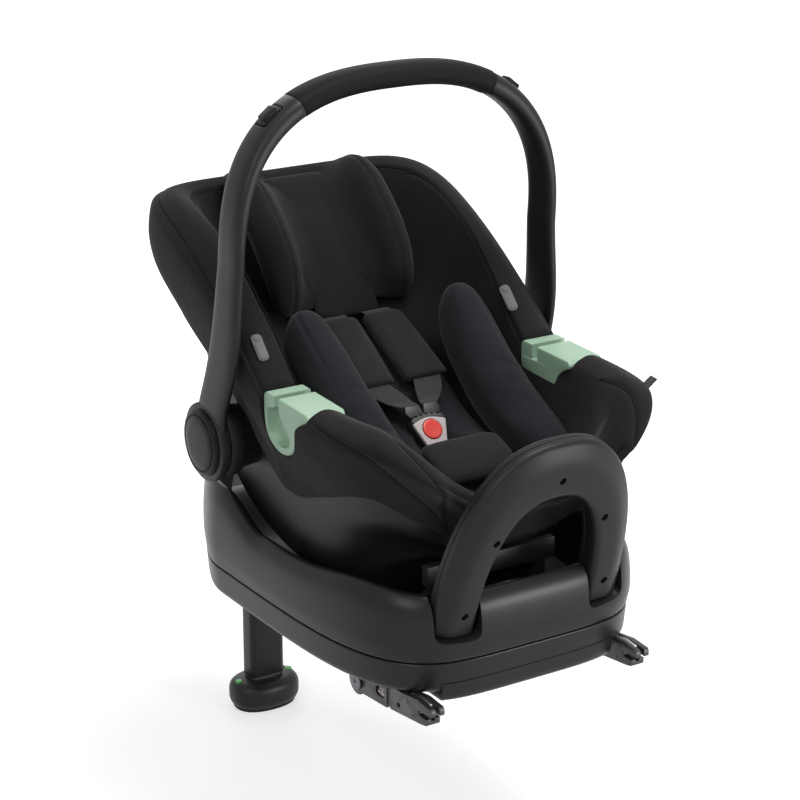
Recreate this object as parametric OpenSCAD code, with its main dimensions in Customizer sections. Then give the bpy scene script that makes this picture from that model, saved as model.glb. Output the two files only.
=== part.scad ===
// Infant car seat: a carrier with a swivelling handle, docked on a base that has anchor
// connectors, a rebound bar and a folding support leg.
// X runs across the seat and +Y towards the head end. The origin is the middle of the
// anchor-bar axis, halfway between the two connectors. All sizes are in millimetres.

/* [Anchor connectors] */
// Distance between the middles of the two connectors
anchor_spacing = 280; // [274:1:286]
// Width of a connector
connector_w = 20; // [18:1:22]
// Radius of the jaw slot that takes the anchor bar
jaw_r = 3.1; // [3.05:0.05:3.3]
// Distance from the anchor bar back to the fold pin
arm_len = 130; // [126:1:136]
// Drop of the fold pin below the anchor bar
arm_drop = 13; // [11:1:15]
// Radius of the fold pin
fold_pin_r = 5; // [4:0.5:6]

/* [Base] */
// Overall width of the base tub
base_w = 400; // [394:2:408]
// Y of the tub's rear end
base_rear = 670; // [664:2:690]
// Y of the tub's front end
base_front = -8; // [-10:1:-6]
// Height of the tub's underside
base_bottom = 12; // [11:0.5:13]
// Height of the parting line between the two base shells
base_part = 50; // [48:1:52]
// Height of the tub's rim at its sides
rim_side = 118; // [114:1:122]
// Height of the tub's rim at its rear
rim_rear = 150; // [146:1:156]
// Rise of the underside towards the rear
rear_rise = 48; // [44:1:52]
// Wall of the lower base shell
base_wall = 4; // [3:0.5:5]

/* [Rebound bar] */
// Outer width of the bar at its feet
bar_w = 250; // [246:2:256]
// Height of the arch above its feet, along the bar
bar_h = 227; // [222:1:234]
// Width between the feet
bar_gap = 150; // [146:2:156]
// Height of the arch's opening, along the bar
bar_open_h = 160; // [154:2:166]
// Thickness of the bar, front to rear
bar_depth = 30; // [28:1:32]
// Forward lean of the bar in degrees
bar_lean = 16.6; // [15:0.2:18]
// Bevel along the front outer edge
bar_bevel = 12; // [8:1:14]

/* [Support leg] */
// Y of the leg's fold pin
leg_y = 623; // [618:1:626]
// Height of the leg's fold pin
leg_pivot_z = 68; // [66:0.5:70]
// Width of the outer leg tube
leg_w = 51; // [48:1:53]
// Depth of the outer leg tube
leg_d = 30; // [28:1:32]
// Wall of both leg tubes
leg_wall = 2.5; // [2:0.25:3]
// Height of the floor under the foot
floor_z = -287; // [-292:1:-280]
// Width of the foot
foot_w = 98; // [94:1:102]
// Depth of the foot, front to rear
foot_d = 72; // [68:1:76]
// Height of the foot
foot_h = 43; // [40:1:46]

/* [Carrier] */
// Overall width of the cover
seat_w = 406; // [400:2:408]
// Height of the carrier's underside
seat_bottom = 60; // [59.9:0.1:62]
// Height of the rim at the arm rests
seat_side_z = 300; // [296:1:303]
// Height of the rim at the foot end
seat_front_z = 212; // [206:1:218]
// Height of the rim at the head end
seat_head_z = 463; // [458:1:468]
// Y of the foot end
seat_front = -16; // [-18:1:-10]
// Y of the head end
seat_rear = 568; // [564:1:572]
// Thickness of the cover
cover_t = 5; // [4:0.5:6]
// Wall of the carrier shell
shell_t = 4; // [3:0.5:5]
// Distance from the cover's outside to the edge of the seat's hollow
band_w = 46; // [44:1:50]
// Slope of the backrest in degrees
back_angle = 40.4; // [38:0.2:42]

/* [Handle] */
// Y of the handle's axis
hub_y = 337; // [334:1:342]
// Height of the handle's axis
hub_z = 226; // [223:1:229]
// Distance from the axis to the middle of the grip
handle_len = 412; // [404:1:420]
// Distance from the middle plane to an arm's inner face at the hub
arm_inner_x = 217; // [216:0.5:222]
// Thickness of an arm at the hub
arm_t = 13; // [12:0.5:15]
// Radius of the hub disc
hub_r = 47; // [45:1:50]
// Radius of the handle's axle
axle_r = 8; // [6:0.5:10]

/* [Buckle] */
// Radius of the buckle's button
button_r = 9.5; // [8:0.5:10.5]
// Travel of every push button
press = 3; // [2:0.5:4]

/* [Hidden] */
$fn = 48;
fit = 0.3;
running = 0.05;
soft_gap = 0.4;
eps = 0.01;
half_anchor = anchor_spacing / 2;

// ---- shared functions -------------------------------------------------------------
function lerp(a, b, t) = a + (b - a) * t;
function ease(t) = let (c = min(1, max(0, t))) c * c * (3 - 2 * c);
function signed_pow(v, p) = sign(v) * pow(abs(v), p);
// Polar point of a superellipse with exponent n
function arch(t, a, b, n) =
    let (r = pow(pow(abs(cos(t)) / a, n) + pow(abs(sin(t)) / b, n), -1 / n))
    [r * cos(t), r * sin(t)];
// Plan outline with its own exponent at the front and at the rear
function plan(t, a, front, middle, rear, front_n, rear_n) =
    let (p = sin(t) < 0 ? arch(t, a, middle - front, front_n)
                        : arch(t, a, rear - middle, rear_n))
    [p[0], middle + p[1]];
// Angles of the points of a ring, in mirrored pairs about the middle plane
function ring_angles(n) = [for (i = [0:n - 1]) -90 + 360 * (i + 0.5) / n];
// Rounded section across a path: e1 and e2 span it, p is its squareness
function section(at, e1, e2, w, h, n, p) =
    [for (t = ring_angles(n))
        at + e1 * w / 2 * signed_pow(cos(t), 2 / p) + e2 * h / 2 * signed_pow(sin(t), 2 / p)];

// Each quad is split so that both faces of a wall, and both sides of a part, split alike
function side_faces(rings, k, l) =
    let (n = len(rings[0]), up = rings[l][0][2] >= rings[k][0][2])
    [for (i = [0:n - 1])
        let (j = (i + 1) % n, a = k * n + i, b = k * n + j, c = l * n + i, d = l * n + j)
        each (i < n / 2) == up ? [[a, c, b], [b, c, d]] : [[a, c, d], [a, d, b]]];
function cap_faces(n) =
    [for (i = [0:n / 2 - 2])
        each [[i, i + 1, n - 2 - i], [i, n - 2 - i, n - 1 - i]]];

// Closed solid through a list of rings
module loft(rings) {
    n = len(rings[0]);
    m = len(rings);
    top = (m - 1) * n;
    polyhedron(
        points = [for (r = rings) each r],
        faces = [for (k = [0:m - 2]) each side_faces(rings, k, k + 1),
            each cap_faces(n),
            for (f = cap_faces(n)) [f[2] + top, f[1] + top, f[0] + top]]);
}

// Closed band through rings that return to the first one
module loft_band(rings) {
    m = len(rings);
    polyhedron(
        points = [for (r = rings) each r],
        faces = [for (k = [0:m - 1]) each side_faces(rings, k, (k + 1) % m)]);
}

// A flat profile drawn in Y and Z, given its thickness in X
module plate(x0, x1) {
    translate([x0, 0, 0])
        rotate([90, 0, 90])
            linear_extrude(x1 - x0) children();
}

// A cylinder along X
module rod(x0, x1, y, z, r) {
    translate([x0, y, z])
        rotate([0, 90, 0]) cylinder(h = x1 - x0, r = r);
}

module box(x, y, z) {
    translate([x[0], y[0], z[0]])
        cube([x[1] - x[0], y[1] - y[0], z[1] - z[0]]);
}

module rounded(w, h, r) {
    hull()
        for (x = [-1, 1], y = [-1, 1])
            translate([x * (w / 2 - r), y * (h / 2 - r)]) circle(r = r, $fn = 24);
}

// The right-hand piece, or its mirror image on the left
module on_side(side) {
    if (side > 0) children();
    else mirror([1, 0, 0]) children();
}

// ---- base tub -----------------------------------------------------------------------
base_n = 44;
base_middle = 390;
rise_start = 390;
rise_end = 510;
base_angles = ring_angles(base_n);
function base_rise(y) = ease((y - rise_start) / (rise_end - rise_start));
function base_low(y) = base_bottom + rear_rise * base_rise(y);
function base_split(y) = base_part + (rear_rise - 8) * base_rise(y);
function base_rim(y) = rim_side + (rim_rear - rim_side) * ease((y - 270) / 100)
    + 15 * max(0, 1 - pow((y - 70) / 60, 2));
// The rear part of the tub narrows to a nose over the support leg
function base_xy(t, inset) =
    let (p = plan(t, base_w / 2 - inset, base_front + inset, base_middle, base_rear - inset,
            4.5, 2.6))
    [p[0] * (1 - 0.52 * ease((p[1] - 370) / 250)), p[1]];
// A ring of the tub: inset from its widest outline, share 0 at the parting line, 1 at the rim
function base_ring(inset, share, extra = 0) =
    [for (t = base_angles) let (p = base_xy(t, inset), q = base_xy(t, 0))
        [p[0], p[1], lerp(base_split(q[1]), base_rim(q[1]), share) + extra]];
function base_low_ring(inset, extra) =
    [for (t = base_angles) let (p = base_xy(t, inset), q = base_xy(t, 0))
        [p[0], p[1], base_low(q[1]) + extra]];

channel_w = leg_w + 7;
pocket_w = foot_w + 10;
pocket_y = [232, 345];
channel_y = [300, leg_y + leg_d / 2 + 8];
module leg_space(grow) {
    box([-channel_w / 2 - grow, channel_w / 2 + grow],
        [channel_y[0], channel_y[1] + grow], [-40, base_part + rear_rise]);
    box([-pocket_w / 2 - grow, pocket_w / 2 + grow],
        [pocket_y[0] - grow, pocket_y[1] + grow], [-40, base_part + rear_rise]);
}

module base_lower_outline() {
    loft([base_low_ring(13, 0), base_low_ring(5, 6), base_ring(3, 0, -0.7)]);
}

// A deeper heel under the front, between the two connectors
heel_w = 236;
heel_z = 1;
module base_lower_shell() {
    color([0.10, 0.10, 0.11])
    difference() {
        union() {
            intersection() {
                translate([0, 0, heel_z])
                    linear_extrude(base_bottom - heel_z + 2)
                        polygon([for (t = base_angles) base_xy(t, 13)]);
                box([-heel_w / 2, heel_w / 2], [base_front - 10, 74], [-40, base_part]);
            }
            loft([base_low_ring(13, 0), base_low_ring(5, 6), base_ring(3, 0, -0.7),
                base_ring(3 + base_wall, 0, -0.7), base_low_ring(7 + base_wall, 6 + base_wall),
                base_low_ring(14, base_wall)]);
            intersection() {
                base_lower_outline();
                leg_space(base_wall);
            }
        }
        leg_space(0);
        rod(-leg_w, leg_w, leg_y, leg_pivot_z, leg_pin_r + running);
    }
}

// The bar's own frame: feet at the origin, Y along its depth, Z up its slope
bar_y = 2.4;
bar_z = 78;
module on_bar() {
    translate([0, bar_y, bar_z]) rotate([bar_lean, 0, 0]) children();
}
bar_notch = 1;

module base_upper_shell() {
    color([0.11, 0.11, 0.12])
    difference() {
        loft([base_ring(3, 0), base_ring(0, 0.25), base_ring(1, 0.6), base_ring(5, 0.86),
            base_ring(13, 1), base_ring(21, 0.97), base_ring(29, 0.8), base_ring(38, 0.35),
            base_ring(46, 0, 6)]);
        on_bar()
            for (side = [-1, 1])
                translate([side * (bar_w + bar_gap) / 4, 0, 0])
                    box([-(bar_w - bar_gap) / 4 - bar_notch, (bar_w - bar_gap) / 4 + bar_notch],
                        [-30, bar_depth + bar_notch], [-fit, 90]);
    }
}

// ---- dock ---------------------------------------------------------------------------
dock_floor = base_part + 6;
hook_plate_y = [80, 92];
hook_plate_z = [104, 128];
hook_plate_w = 174;
dock_bar_r = 4;
dock_bar_y = [104, 372];
dock_bar_z = 72;
rail_x = 62;
module dock_cradle() {
    color([0.15, 0.15, 0.16]) {
        for (side = [-1, 1])
            on_side(side)
                difference() {
                    plate(rail_x, rail_x + 12)
                        polygon([[hook_plate_y[0], dock_floor + fit], [380, dock_floor + fit],
                            [388, dock_floor + 30], [362, dock_floor + 30], [345, seat_bottom - fit],
                            [138, seat_bottom - fit], [114, dock_floor + 26],
                            [hook_plate_y[1], hook_plate_z[0]], [hook_plate_y[0], hook_plate_z[0]]]);
                    rod(0, 200, dock_bar_y[1], dock_bar_z, dock_bar_r + running);
                    rod(0, 200, dock_bar_y[0], dock_bar_z, dock_bar_r + running);
                }
        difference() {
            box([-hook_plate_w / 2, hook_plate_w / 2], hook_plate_y, hook_plate_z);
            for (side = [-1, 1])
                translate([side * hook_plate_w / 2, 0, hook_plate_z[1]])
                    rotate([0, side * 35, 0]) box([-14, 14], [0, 200], [0, 40]);
        }
    }
}
module dock_bars() {
    color([0.6, 0.6, 0.62])
        for (y = dock_bar_y)
            rod(-rail_x - 14, rail_x + 14, y, dock_bar_z, dock_bar_r);
}

// ---- rebound bar ----------------------------------------------------------------------
bar_steps = 24;
// r runs from the inner outline (0) to the outer one (1), d from the front face backwards
function bar_point(t, r, d) =
    let (inner = arch(t, bar_gap / 2, bar_open_h, 2.5), outer = arch(t, bar_w / 2, bar_h, 2.5),
        p = lerp(inner, outer, r))
    [p[0], d, p[1]];
function bar_ring(t, profile) = [for (q = profile) bar_point(t, q[0], q[1])];
bar_split = bar_depth * 0.73;
front_profile = [[1, bar_split - fit], [0, bar_split - fit], [0, 7], [0.1, 0], [0.62, 0],
    [1, bar_bevel]];
rear_profile = [[0.97, bar_depth], [0.03, bar_depth], [0, bar_depth - 5], [0, bar_split],
    [1, bar_split], [1, bar_depth - 5]];
module bar_shell(profile) {
    loft([for (i = [0:bar_steps]) bar_ring(180 * i / bar_steps, profile)]);
}
screw_places = [[0, 186], [72, 120], [-72, 120], [94, 26], [-94, 26]];
screw_r = 3.4;
module bar_screw_places(d) {
    for (p = screw_places)
        translate([p[0], d, p[1]]) rotate([-90, 0, 0]) children();
}
module rebound_bar_front() {
    color([0.10, 0.10, 0.11])
    on_bar()
        difference() {
            bar_shell(front_profile);
            bar_screw_places(-1) cylinder(h = 9, r = screw_r + 0.8);
        }
}
module rebound_bar_rear() {
    color([0.12, 0.12, 0.13]) on_bar() bar_shell(rear_profile);
}
module rebound_bar_screws() {
    color([0.05, 0.05, 0.05])
    on_bar()
        bar_screw_places(4)
            difference() {
                cylinder(h = 4 - fit, r = screw_r);
                translate([0, 0, -eps]) cylinder(h = 2, r = screw_r / 2, $fn = 6);
            }
}
module underside_pads() {
    color([0.05, 0.05, 0.05])
        for (x = [-1, 1], y = [110, 205, 300])
            translate([x * 92, y, base_bottom - 4 - eps])
                linear_extrude(4) rounded(26, 40, 8);
}

// ---- anchor connectors ------------------------------------------------------------------
arm_bore = fold_pin_r + running;
bracket_x = half_anchor - connector_w / 2 - 3;
collar_y = 66;
hook_pivot = [26, 4];
hook_slot = 5;
module fold_axis(x0, x1, r) {
    rod(x0, x1, arm_len, -arm_drop, r);
}
module isofix_brackets() {
    color([0.45, 0.45, 0.47])
        for (side = [-1, 1])
            on_side(side)
                difference() {
                    union() {
                        plate(bracket_x - 22, bracket_x)
                            polygon([[arm_len - 22, base_bottom - eps], [arm_len - 22, -arm_drop],
                                [arm_len - 12, -arm_drop - 14], [arm_len + 62, -arm_drop - 14],
                                [arm_len + 78, base_bottom - eps]]);
                        fold_axis(bracket_x - eps, half_anchor + connector_w / 2 + fit, fold_pin_r);
                        fold_axis(half_anchor + connector_w / 2 + fit,
                            half_anchor + connector_w / 2 + 3, 11);
                    }
                    fold_axis(half_anchor + connector_w / 2 + 1.5, 200, 2.5);
                }
}
module isofix_arm(side) {
    color([0.20, 0.20, 0.21])
    on_side(side)
        difference() {
            union() {
                plate(half_anchor - connector_w / 2, half_anchor + connector_w / 2) {
                    translate([arm_len, -arm_drop]) circle(r = 17);
                    polygon([[collar_y, 7], [arm_len - 14, 6], [arm_len, -arm_drop + 16],
                        [arm_len, -arm_drop - 16], [arm_len - 12, -arm_drop - 12],
                        [arm_len - 24, -24], [collar_y, -21]]);
                }
                plate(half_anchor - connector_w / 2 + 2, half_anchor + connector_w / 2 - 2)
                    polygon([[collar_y - 5, 4], [collar_y, 4], [collar_y, -18],
                        [collar_y - 5, -18]]);
            }
            fold_axis(0, 300, arm_bore);
            translate([half_anchor + connector_w / 2 - 4, 80, -7])
                rotate([0, 90, 0]) linear_extrude(10) rounded(11, 20, 5);
        }
}
module isofix_release(side) {
    color([0.75, 0.75, 0.75])
    on_side(side)
        translate([half_anchor + connector_w / 2 - 4 + fit, 78, -7])
            rotate([0, 90, 0]) {
                linear_extrude(2) rounded(10, 14, 4.5);
                for (y = [-4, 4])
                    translate([0, y, 0]) cylinder(h = 4, r = 2);
            }
}
module isofix_housing(side) {
    color([0.16, 0.16, 0.17])
    on_side(side)
        difference() {
            plate(half_anchor - connector_w / 2 + 1, half_anchor + connector_w / 2 - 1)
                polygon([[-20, 12], [6, 14], [34, 10], [collar_y - 5.5, 8], [collar_y - 5.5, -20],
                    [-5, -12], [-13, -10], [-13, -jaw_r], [0, -jaw_r], [0, jaw_r], [-22, jaw_r],
                    [-22, 9]]);
            rod(0, 300, 0, 0, jaw_r);
            box([half_anchor - hook_slot / 2, half_anchor + hook_slot / 2], [-40, 42], [-6, 30]);
            rod(0, 300, 43, -8, 3);
            rod(0, 300, hook_pivot[0], hook_pivot[1], 2);
        }
    color([0.6, 0.6, 0.6])
    on_side(side)
        for (p = [[hook_pivot[0], hook_pivot[1]], [hook_pivot[0] - 11, -9.5]])
            rod(half_anchor - connector_w / 2 + 0.5, half_anchor + connector_w / 2 - 0.5,
                p[0], p[1], 2);
}
module isofix_hook(side) {
    color([0.6, 0.6, 0.62])
    on_side(side)
        difference() {
            plate(half_anchor - hook_slot / 2 + 0.5, half_anchor + hook_slot / 2 - 0.5) {
                polygon([[-11, jaw_r + 0.6], [-6, jaw_r + 0.6], [6, jaw_r + 0.6], [14, -2],
                    [30, -2], [34, 4], [30, 10], [8, 13.5], [-9, 12]]);
            }
            rod(0, 300, 0, 0, 8);
            rod(0, 300, hook_pivot[0], hook_pivot[1], 2 + running);
        }
}

// ---- support leg ------------------------------------------------------------------------
leg_top = leg_pivot_z;
leg_end = floor_z + foot_h + 3;
leg_pin_r = 6;
foot_top = floor_z + foot_h;
inner_w = leg_w - 2 * leg_wall - 1;
inner_d = leg_d - 2 * leg_wall - 1;
foot_n = 28;
module leg_bar(w, d, z0, z1, r) {
    translate([0, leg_y, z0]) linear_extrude(z1 - z0) rounded(w, d, r);
}
module leg_pin() {
    color([0.6, 0.6, 0.62]) {
        rod(-leg_w / 2 - 6.5, leg_w / 2 + 6.5, leg_y, leg_pivot_z, leg_pin_r);
    }
}
// A raised boss on the leg's rear face holds its release button
boss_d = 9;
module on_leg_boss() {
    translate([0, leg_y + leg_d / 2 + boss_d, leg_end + 34]) rotate([-90, 0, 0]) children();
}
module leg_outer_tube() {
    color([0.12, 0.12, 0.13])
    difference() {
        union() {
            leg_bar(leg_w, leg_d, leg_end, leg_top, 8);
            rod(-leg_w / 2 + 2, leg_w / 2 - 2, leg_y, leg_top, leg_d / 2);
            on_leg_boss() translate([0, 0, -boss_d - 1]) linear_extrude(boss_d + 1) rounded(34, 40, 8);
        }
        leg_bar(leg_w - 2 * leg_wall, leg_d - 2 * leg_wall, leg_end - 1,
            leg_top - leg_pin_r - 12, 6);
        rod(-leg_w, leg_w, leg_y, leg_pivot_z, leg_pin_r + running);
        on_leg_boss() translate([0, 0, -boss_d + 1]) cylinder(h = boss_d, r = 9);
    }
}
module leg_button() {
    color([0.3, 0.3, 0.31])
    on_leg_boss() translate([0, 0, press - 7]) cylinder(h = 7, r = 9 - fit);
}
module leg_inner_tube() {
    color([0.35, 0.35, 0.36])
    difference() {
        leg_bar(inner_w, inner_d, foot_top - 20, leg_end + 235, 5);
        leg_bar(inner_w - 2 * leg_wall, inner_d - 2 * leg_wall, foot_top - 21, leg_end + 236, 3);
        for (i = [0:6])
            translate([0, leg_y + 1, leg_end + 30 + i * 28])
                rotate([-90, 0, 0]) cylinder(h = leg_d / 2, r = 5);
    }
}
function foot_ring(shrink, z) =
    section([0, leg_y, z], [1, 0, 0], [0, 1, 0], foot_w - 2 * shrink, foot_d - 2 * shrink,
        foot_n, 2.3);
module foot_shell() {
    color([0.10, 0.10, 0.11])
    difference() {
        loft([foot_ring(3, floor_z + 6), foot_ring(0, floor_z + 13), foot_ring(0, foot_top - 14),
            foot_ring(3, foot_top - 7), foot_ring(9, foot_top - 2), foot_ring(20, foot_top)]);
        leg_bar(inner_w + 0.2, inner_d + 0.2, foot_top - 20.1, foot_top + 5, 5);
        for (x = [-1, 1])
            translate([x * 38, leg_y, foot_top - 8]) cylinder(h = 20, r = 5 + fit);
    }
}
module foot_indicators() {
    color([0.1, 0.75, 0.2])
        for (x = [-1, 1])
            translate([x * 38, leg_y, foot_top - 8 + eps]) cylinder(h = 7, r = 5);
}
module foot_sole() {
    color([0.05, 0.05, 0.05])
        loft([foot_ring(9, floor_z), foot_ring(5, floor_z + 3), foot_ring(5, floor_z + 6 - eps)]);
}

// ---- carrier body -------------------------------------------------------------------------
ring_n = 44;
seat_middle = 240;
seat_angles = ring_angles(ring_n);
// Share of the height, half width, foot end, head end of the shell at each level
shell_levels = [
    [0.00, 100, 152, 330],
    [0.06, 122, 142, 356],
    [0.30, 148, 126, 415],
    [0.45, 160, 98, 453],
    [0.60, 172, 34, 492],
    [0.85, 192, 12, 582],
    [1.00, seat_w / 2 - cover_t - 1, seat_front + cover_t, seat_rear]];
function level(share, column) =
    lookup(share, [for (row = shell_levels) [row[0], row[column]]]);
// The foot end is pushed in behind the rebound bar
function foot_push(p, share) =
    [p[0], p[1] + 30 * share * max(0, 1 - pow(p[0] / 125, 2)) * ease((90 - p[1]) / 60)];
function carrier_xy(t, share, out) =
    foot_push(plan(t, level(share, 1) + out, level(share, 2) - out, seat_middle,
        level(share, 3) + out, 4.5, 5 + 2 * ease((share - 0.4) / 0.5)), share);
// Height of the rim: level at the arm rests, a dip at the foot end, a rise to the head end
function rim_z(t) =
    let (y = carrier_xy(t, 1, 0)[1], u = (y - seat_middle) / (seat_rear - seat_middle),
        front = min(abs(t + 90), abs(t - 270)))
    u > 0 ? seat_side_z + (seat_head_z - seat_side_z) * sin(90 * min(1, u))
          : seat_front_z + (seat_side_z - seat_front_z) * ease((front - 8) / 36);
function shell_point(t, share, out, up) =
    let (p = carrier_xy(t, share, out))
    [p[0], p[1], lerp(seat_bottom, rim_z(t), share) + up];
function shell_ring(share, out, up = 0) = [for (t = seat_angles) shell_point(t, share, out, up)];
// Lower edge of the cover, as a share of the shell's height
hem_shares = [[0, 0.84], [20, 0.88], [33, 0.93], [45, 0.85], [61, 0.68], [77, 0.59], [90, 0.61],
    [100, 0.65], [125, 0.72], [180, 0.78]];
function hem_share(t) = lookup(min(abs(t + 90), abs(t - 270)), hem_shares);
function hem_ring(out, above) =
    [for (t = seat_angles) shell_point(t, lerp(hem_share(t), 1, above), out, 0)];

// Hollow of the seat: its floor line, and rings from the floor (0) to the rim's edge (1)
floor_level = 192;
bight_y = 250;
back_slope = tan(back_angle);
function seat_z(y) = floor_level
    + back_slope * ((y - bight_y) + sqrt(pow(y - bight_y, 2) + 3600)) / 2;
hollow_rows = [
    [0.0, 98, 52, 520],
    [0.2, 120, 48, 528],
    [0.6, 142, 32, 534],
    [1.0, seat_w / 2 - band_w, seat_front + band_w - 18, seat_rear - 32]];
function hollow_size(share, column) =
    lookup(share, [for (row = hollow_rows) [row[0], row[column]]]);
function hollow_point(t, share, out, up) =
    let (p = plan(t, hollow_size(share, 1) + out, hollow_size(share, 2) - out, seat_middle,
            hollow_size(share, 3) + out, 4, 4.5 + 3 * share),
        q = foot_push(p, share), low = seat_z(q[1]), high = rim_z(t) + 2)
    [q[0], q[1], low + (high - low) * pow(share, 1.4) + up];
function hollow_ring(share, out, up) =
    [for (t = seat_angles) hollow_point(t, share, out, up)];

boss_r = 30;
module boss_outline() {
    for (side = [-1, 1])
        on_side(side) rod(158, arm_inner_x - fit, hub_y, hub_z, boss_r);
}
// The shell's wall, grown on both sides
module shell_wall(grow) {
    loft([shell_ring(0, grow), shell_ring(0.06, grow), shell_ring(0.3, grow),
        shell_ring(0.45, grow), shell_ring(0.6, grow), shell_ring(0.85, grow),
        shell_ring(1, grow, grow - 4),
        shell_ring(1, -shell_t - grow, grow - 4), shell_ring(0.85, -shell_t - grow),
        shell_ring(0.6, -shell_t - grow), shell_ring(0.45, -shell_t - grow),
        shell_ring(0.3, -shell_t - grow),
        shell_ring(0.06, -shell_t - grow, 2), shell_ring(0, -shell_t - grow, shell_t)]);
}
module carrier_shell() {
    color([0.13, 0.13, 0.14])
    difference() {
        union() {
            shell_wall(0);
            difference() {
                boss_outline();
                loft([shell_ring(0.3, -1), shell_ring(0.6, -1), shell_ring(0.85, -1)]);
            }
            latch_lugs();
            lever_rails();
        }
        for (side = [-1, 1])
            on_side(side) {
                rod(arm_inner_x - 16, 300, hub_y, hub_z, axle_r + running);
                guide_pocket();
            }
        rod(-100, 100, pawl_y, pawl_z, pawl_shaft_r + running);
    }
}
// The liner's outside: round the hollow, and held inside the shell
liner_t = 24;
function liner_point(t, share, out, up) =
    let (p = hollow_point(t, share, out, up),
        level = (p[2] - seat_bottom) / (rim_z(t) - seat_bottom),
        q = shell_point(t, min(1, max(0, level)), -shell_t - 5, 0))
    [sign(p[0]) * min(abs(p[0]), abs(q[0])),
        p[1] < seat_middle ? max(p[1], q[1]) : min(p[1], q[1]), p[2]];
function liner_ring(share, out, up) = [for (t = seat_angles) liner_point(t, share, out, up)];
module foam_liner() {
    color([0.75, 0.75, 0.76])
    difference() {
        loft([liner_ring(0, 6, -15 - liner_t), liner_ring(0.2, 9 + liner_t, -13 - liner_t / 2),
            liner_ring(0.6, 12 + liner_t, -8), liner_ring(0.9, 14 + liner_t, -6),
            hollow_ring(0.9, 14, -6), hollow_ring(0.6, 12, -8), hollow_ring(0.2, 9, -13),
            hollow_ring(0, 6, -15)]);
        for (side = [-1, 1]) on_side(side) guide_pocket();
    }
}
module seat_cover() {
    color([0.05, 0.05, 0.055])
    difference() {
        loft_band([
            hem_ring(1 + cover_t, 0), hem_ring(1 + cover_t, 0.35), hem_ring(2 + cover_t, 0.7),
            shell_ring(1, 1 + cover_t, -3),
            shell_ring(1, cover_t - 4, 6), hollow_ring(1, 6, 4), hollow_ring(1, 0, 0),
            hollow_ring(0.78, 0, 0), hollow_ring(0.78, 8, -1),
            hollow_ring(0.96, 11, -2), shell_ring(1, -shell_t, -3),
            shell_ring(1, 1, -3), hem_ring(1, 0.7), hem_ring(1, 0.35), hem_ring(1, 0)]);
        for (side = [-1, 1]) on_side(side) guide_pocket();
        shell_wall(soft_gap);
    }
}
module seat_pad() {
    color([0.06, 0.06, 0.065])
    difference() {
        loft([hollow_ring(0, 5, -10), hollow_ring(0.2, 7, -9), hollow_ring(0.6, 8, -5),
            hollow_ring(0.72, 8, -2), hollow_ring(0.72, 0, 0), hollow_ring(0.6, 0, 0),
            hollow_ring(0.2, 0, 0), hollow_ring(0, 0, 0)]);
        translate([0, adjuster_y, floor_level - 30]) cylinder(h = 60, r = adjuster_r + fit);
        for (side = [-1, 1]) on_side(side) guide_pocket();
        shell_wall(soft_gap);
    }
}
// The free space inside the seat, less a small gap, for the pieces that lie in it
module seat_space() {
    loft([hollow_ring(0, -soft_gap, soft_gap), hollow_ring(0.2, -soft_gap, soft_gap),
        hollow_ring(0.6, -soft_gap, soft_gap), hollow_ring(0.75, -soft_gap, soft_gap),
        hollow_ring(1, -soft_gap, soft_gap), hollow_ring(1, -soft_gap, 120)]);
}

// ---- pieces in the seat ----------------------------------------------------------------------
// Backrest frame: X across, Y up the slope, Z towards the occupant
module on_back() {
    translate([0, bight_y, floor_level]) rotate([back_angle, 0, 0]) children();
}
function on_back_point(x, u, v) =
    [x, bight_y + u * cos(back_angle) - v * sin(back_angle),
        floor_level + u * sin(back_angle) + v * cos(back_angle)];
into_back = [0, sin(back_angle), -cos(back_angle)];

// Slope of the seat's floor line at y, in degrees
function seat_slope(y) =
    atan(back_slope / 2 * (1 + (y - bight_y) / sqrt(pow(y - bight_y, 2) + 3600)));
// A section that lies on the floor line, raised by up along its normal
function on_floor(y, up, w, h, n) =
    let (a = seat_slope(y), e2 = [0, sin(a), -cos(a)])
    section([0, y, seat_z(y)] - e2 * (up + h / 2), [1, 0, 0], e2, w, h, n, 4);
cushion_t = 20;
module insert_cushion() {
    color([0.07, 0.075, 0.09])
    intersection() {
        loft([for (k = [[96, 110, 0.35], [102, 134, 0.8], [125, 150, 1], [160, 160, 1],
                [200, 164, 1], [240, 166, 1], [275, 166, 1], [310, 164, 1], [350, 158, 0.9],
                [372, 150, 0.7], [380, 128, 0.35]])
            on_floor(k[0], soft_gap, k[1], cushion_t * k[2], 16)]);
        difference() {
            seat_space();
            translate([0, 206, floor_level - 10]) linear_extrude(80) rounded(56, 60, 14);
        }
    }
}
bolster_points = [[84, 62, 214, 24, 30], [98, 100, 230, 44, 58], [104, 150, 250, 50, 74],
    [106, 200, 284, 50, 84], [107, 250, 322, 46, 84], [106, 292, 352, 36, 66],
    [104, 316, 372, 22, 34]];
module insert_bolster(side) {
    color([0.07, 0.075, 0.09])
    on_side(side)
        intersection() {
            loft([for (p = bolster_points)
                section([p[0], p[1], p[2]], [1, 0, 0], [0, 0.45, -0.9], p[3], p[4], 12, 2.3)]);
            seat_space();
        }
}
// Headrest: lower and upper end up the slope; its back rises off the backrest towards the top,
// so that it passes over the rim when it is raised
head_u = [206, 396];
function head_back(u) = 4 + 24 * ease((u - head_u[0]) / 180);
module headrest_pad() {
    color([0.05, 0.05, 0.055])
        loft([for (k = [[0, 84, 12], [8, 96, 24], [60, 106, 30], [130, 106, 24], [178, 98, 18],
                [190, 84, 9]])
            let (u = head_u[0] + k[0])
            section(on_back_point(0, u, head_back(u) + k[2] / 2), [1, 0, 0], into_back,
                k[1], k[2], 16, 4)]);
}
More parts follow.
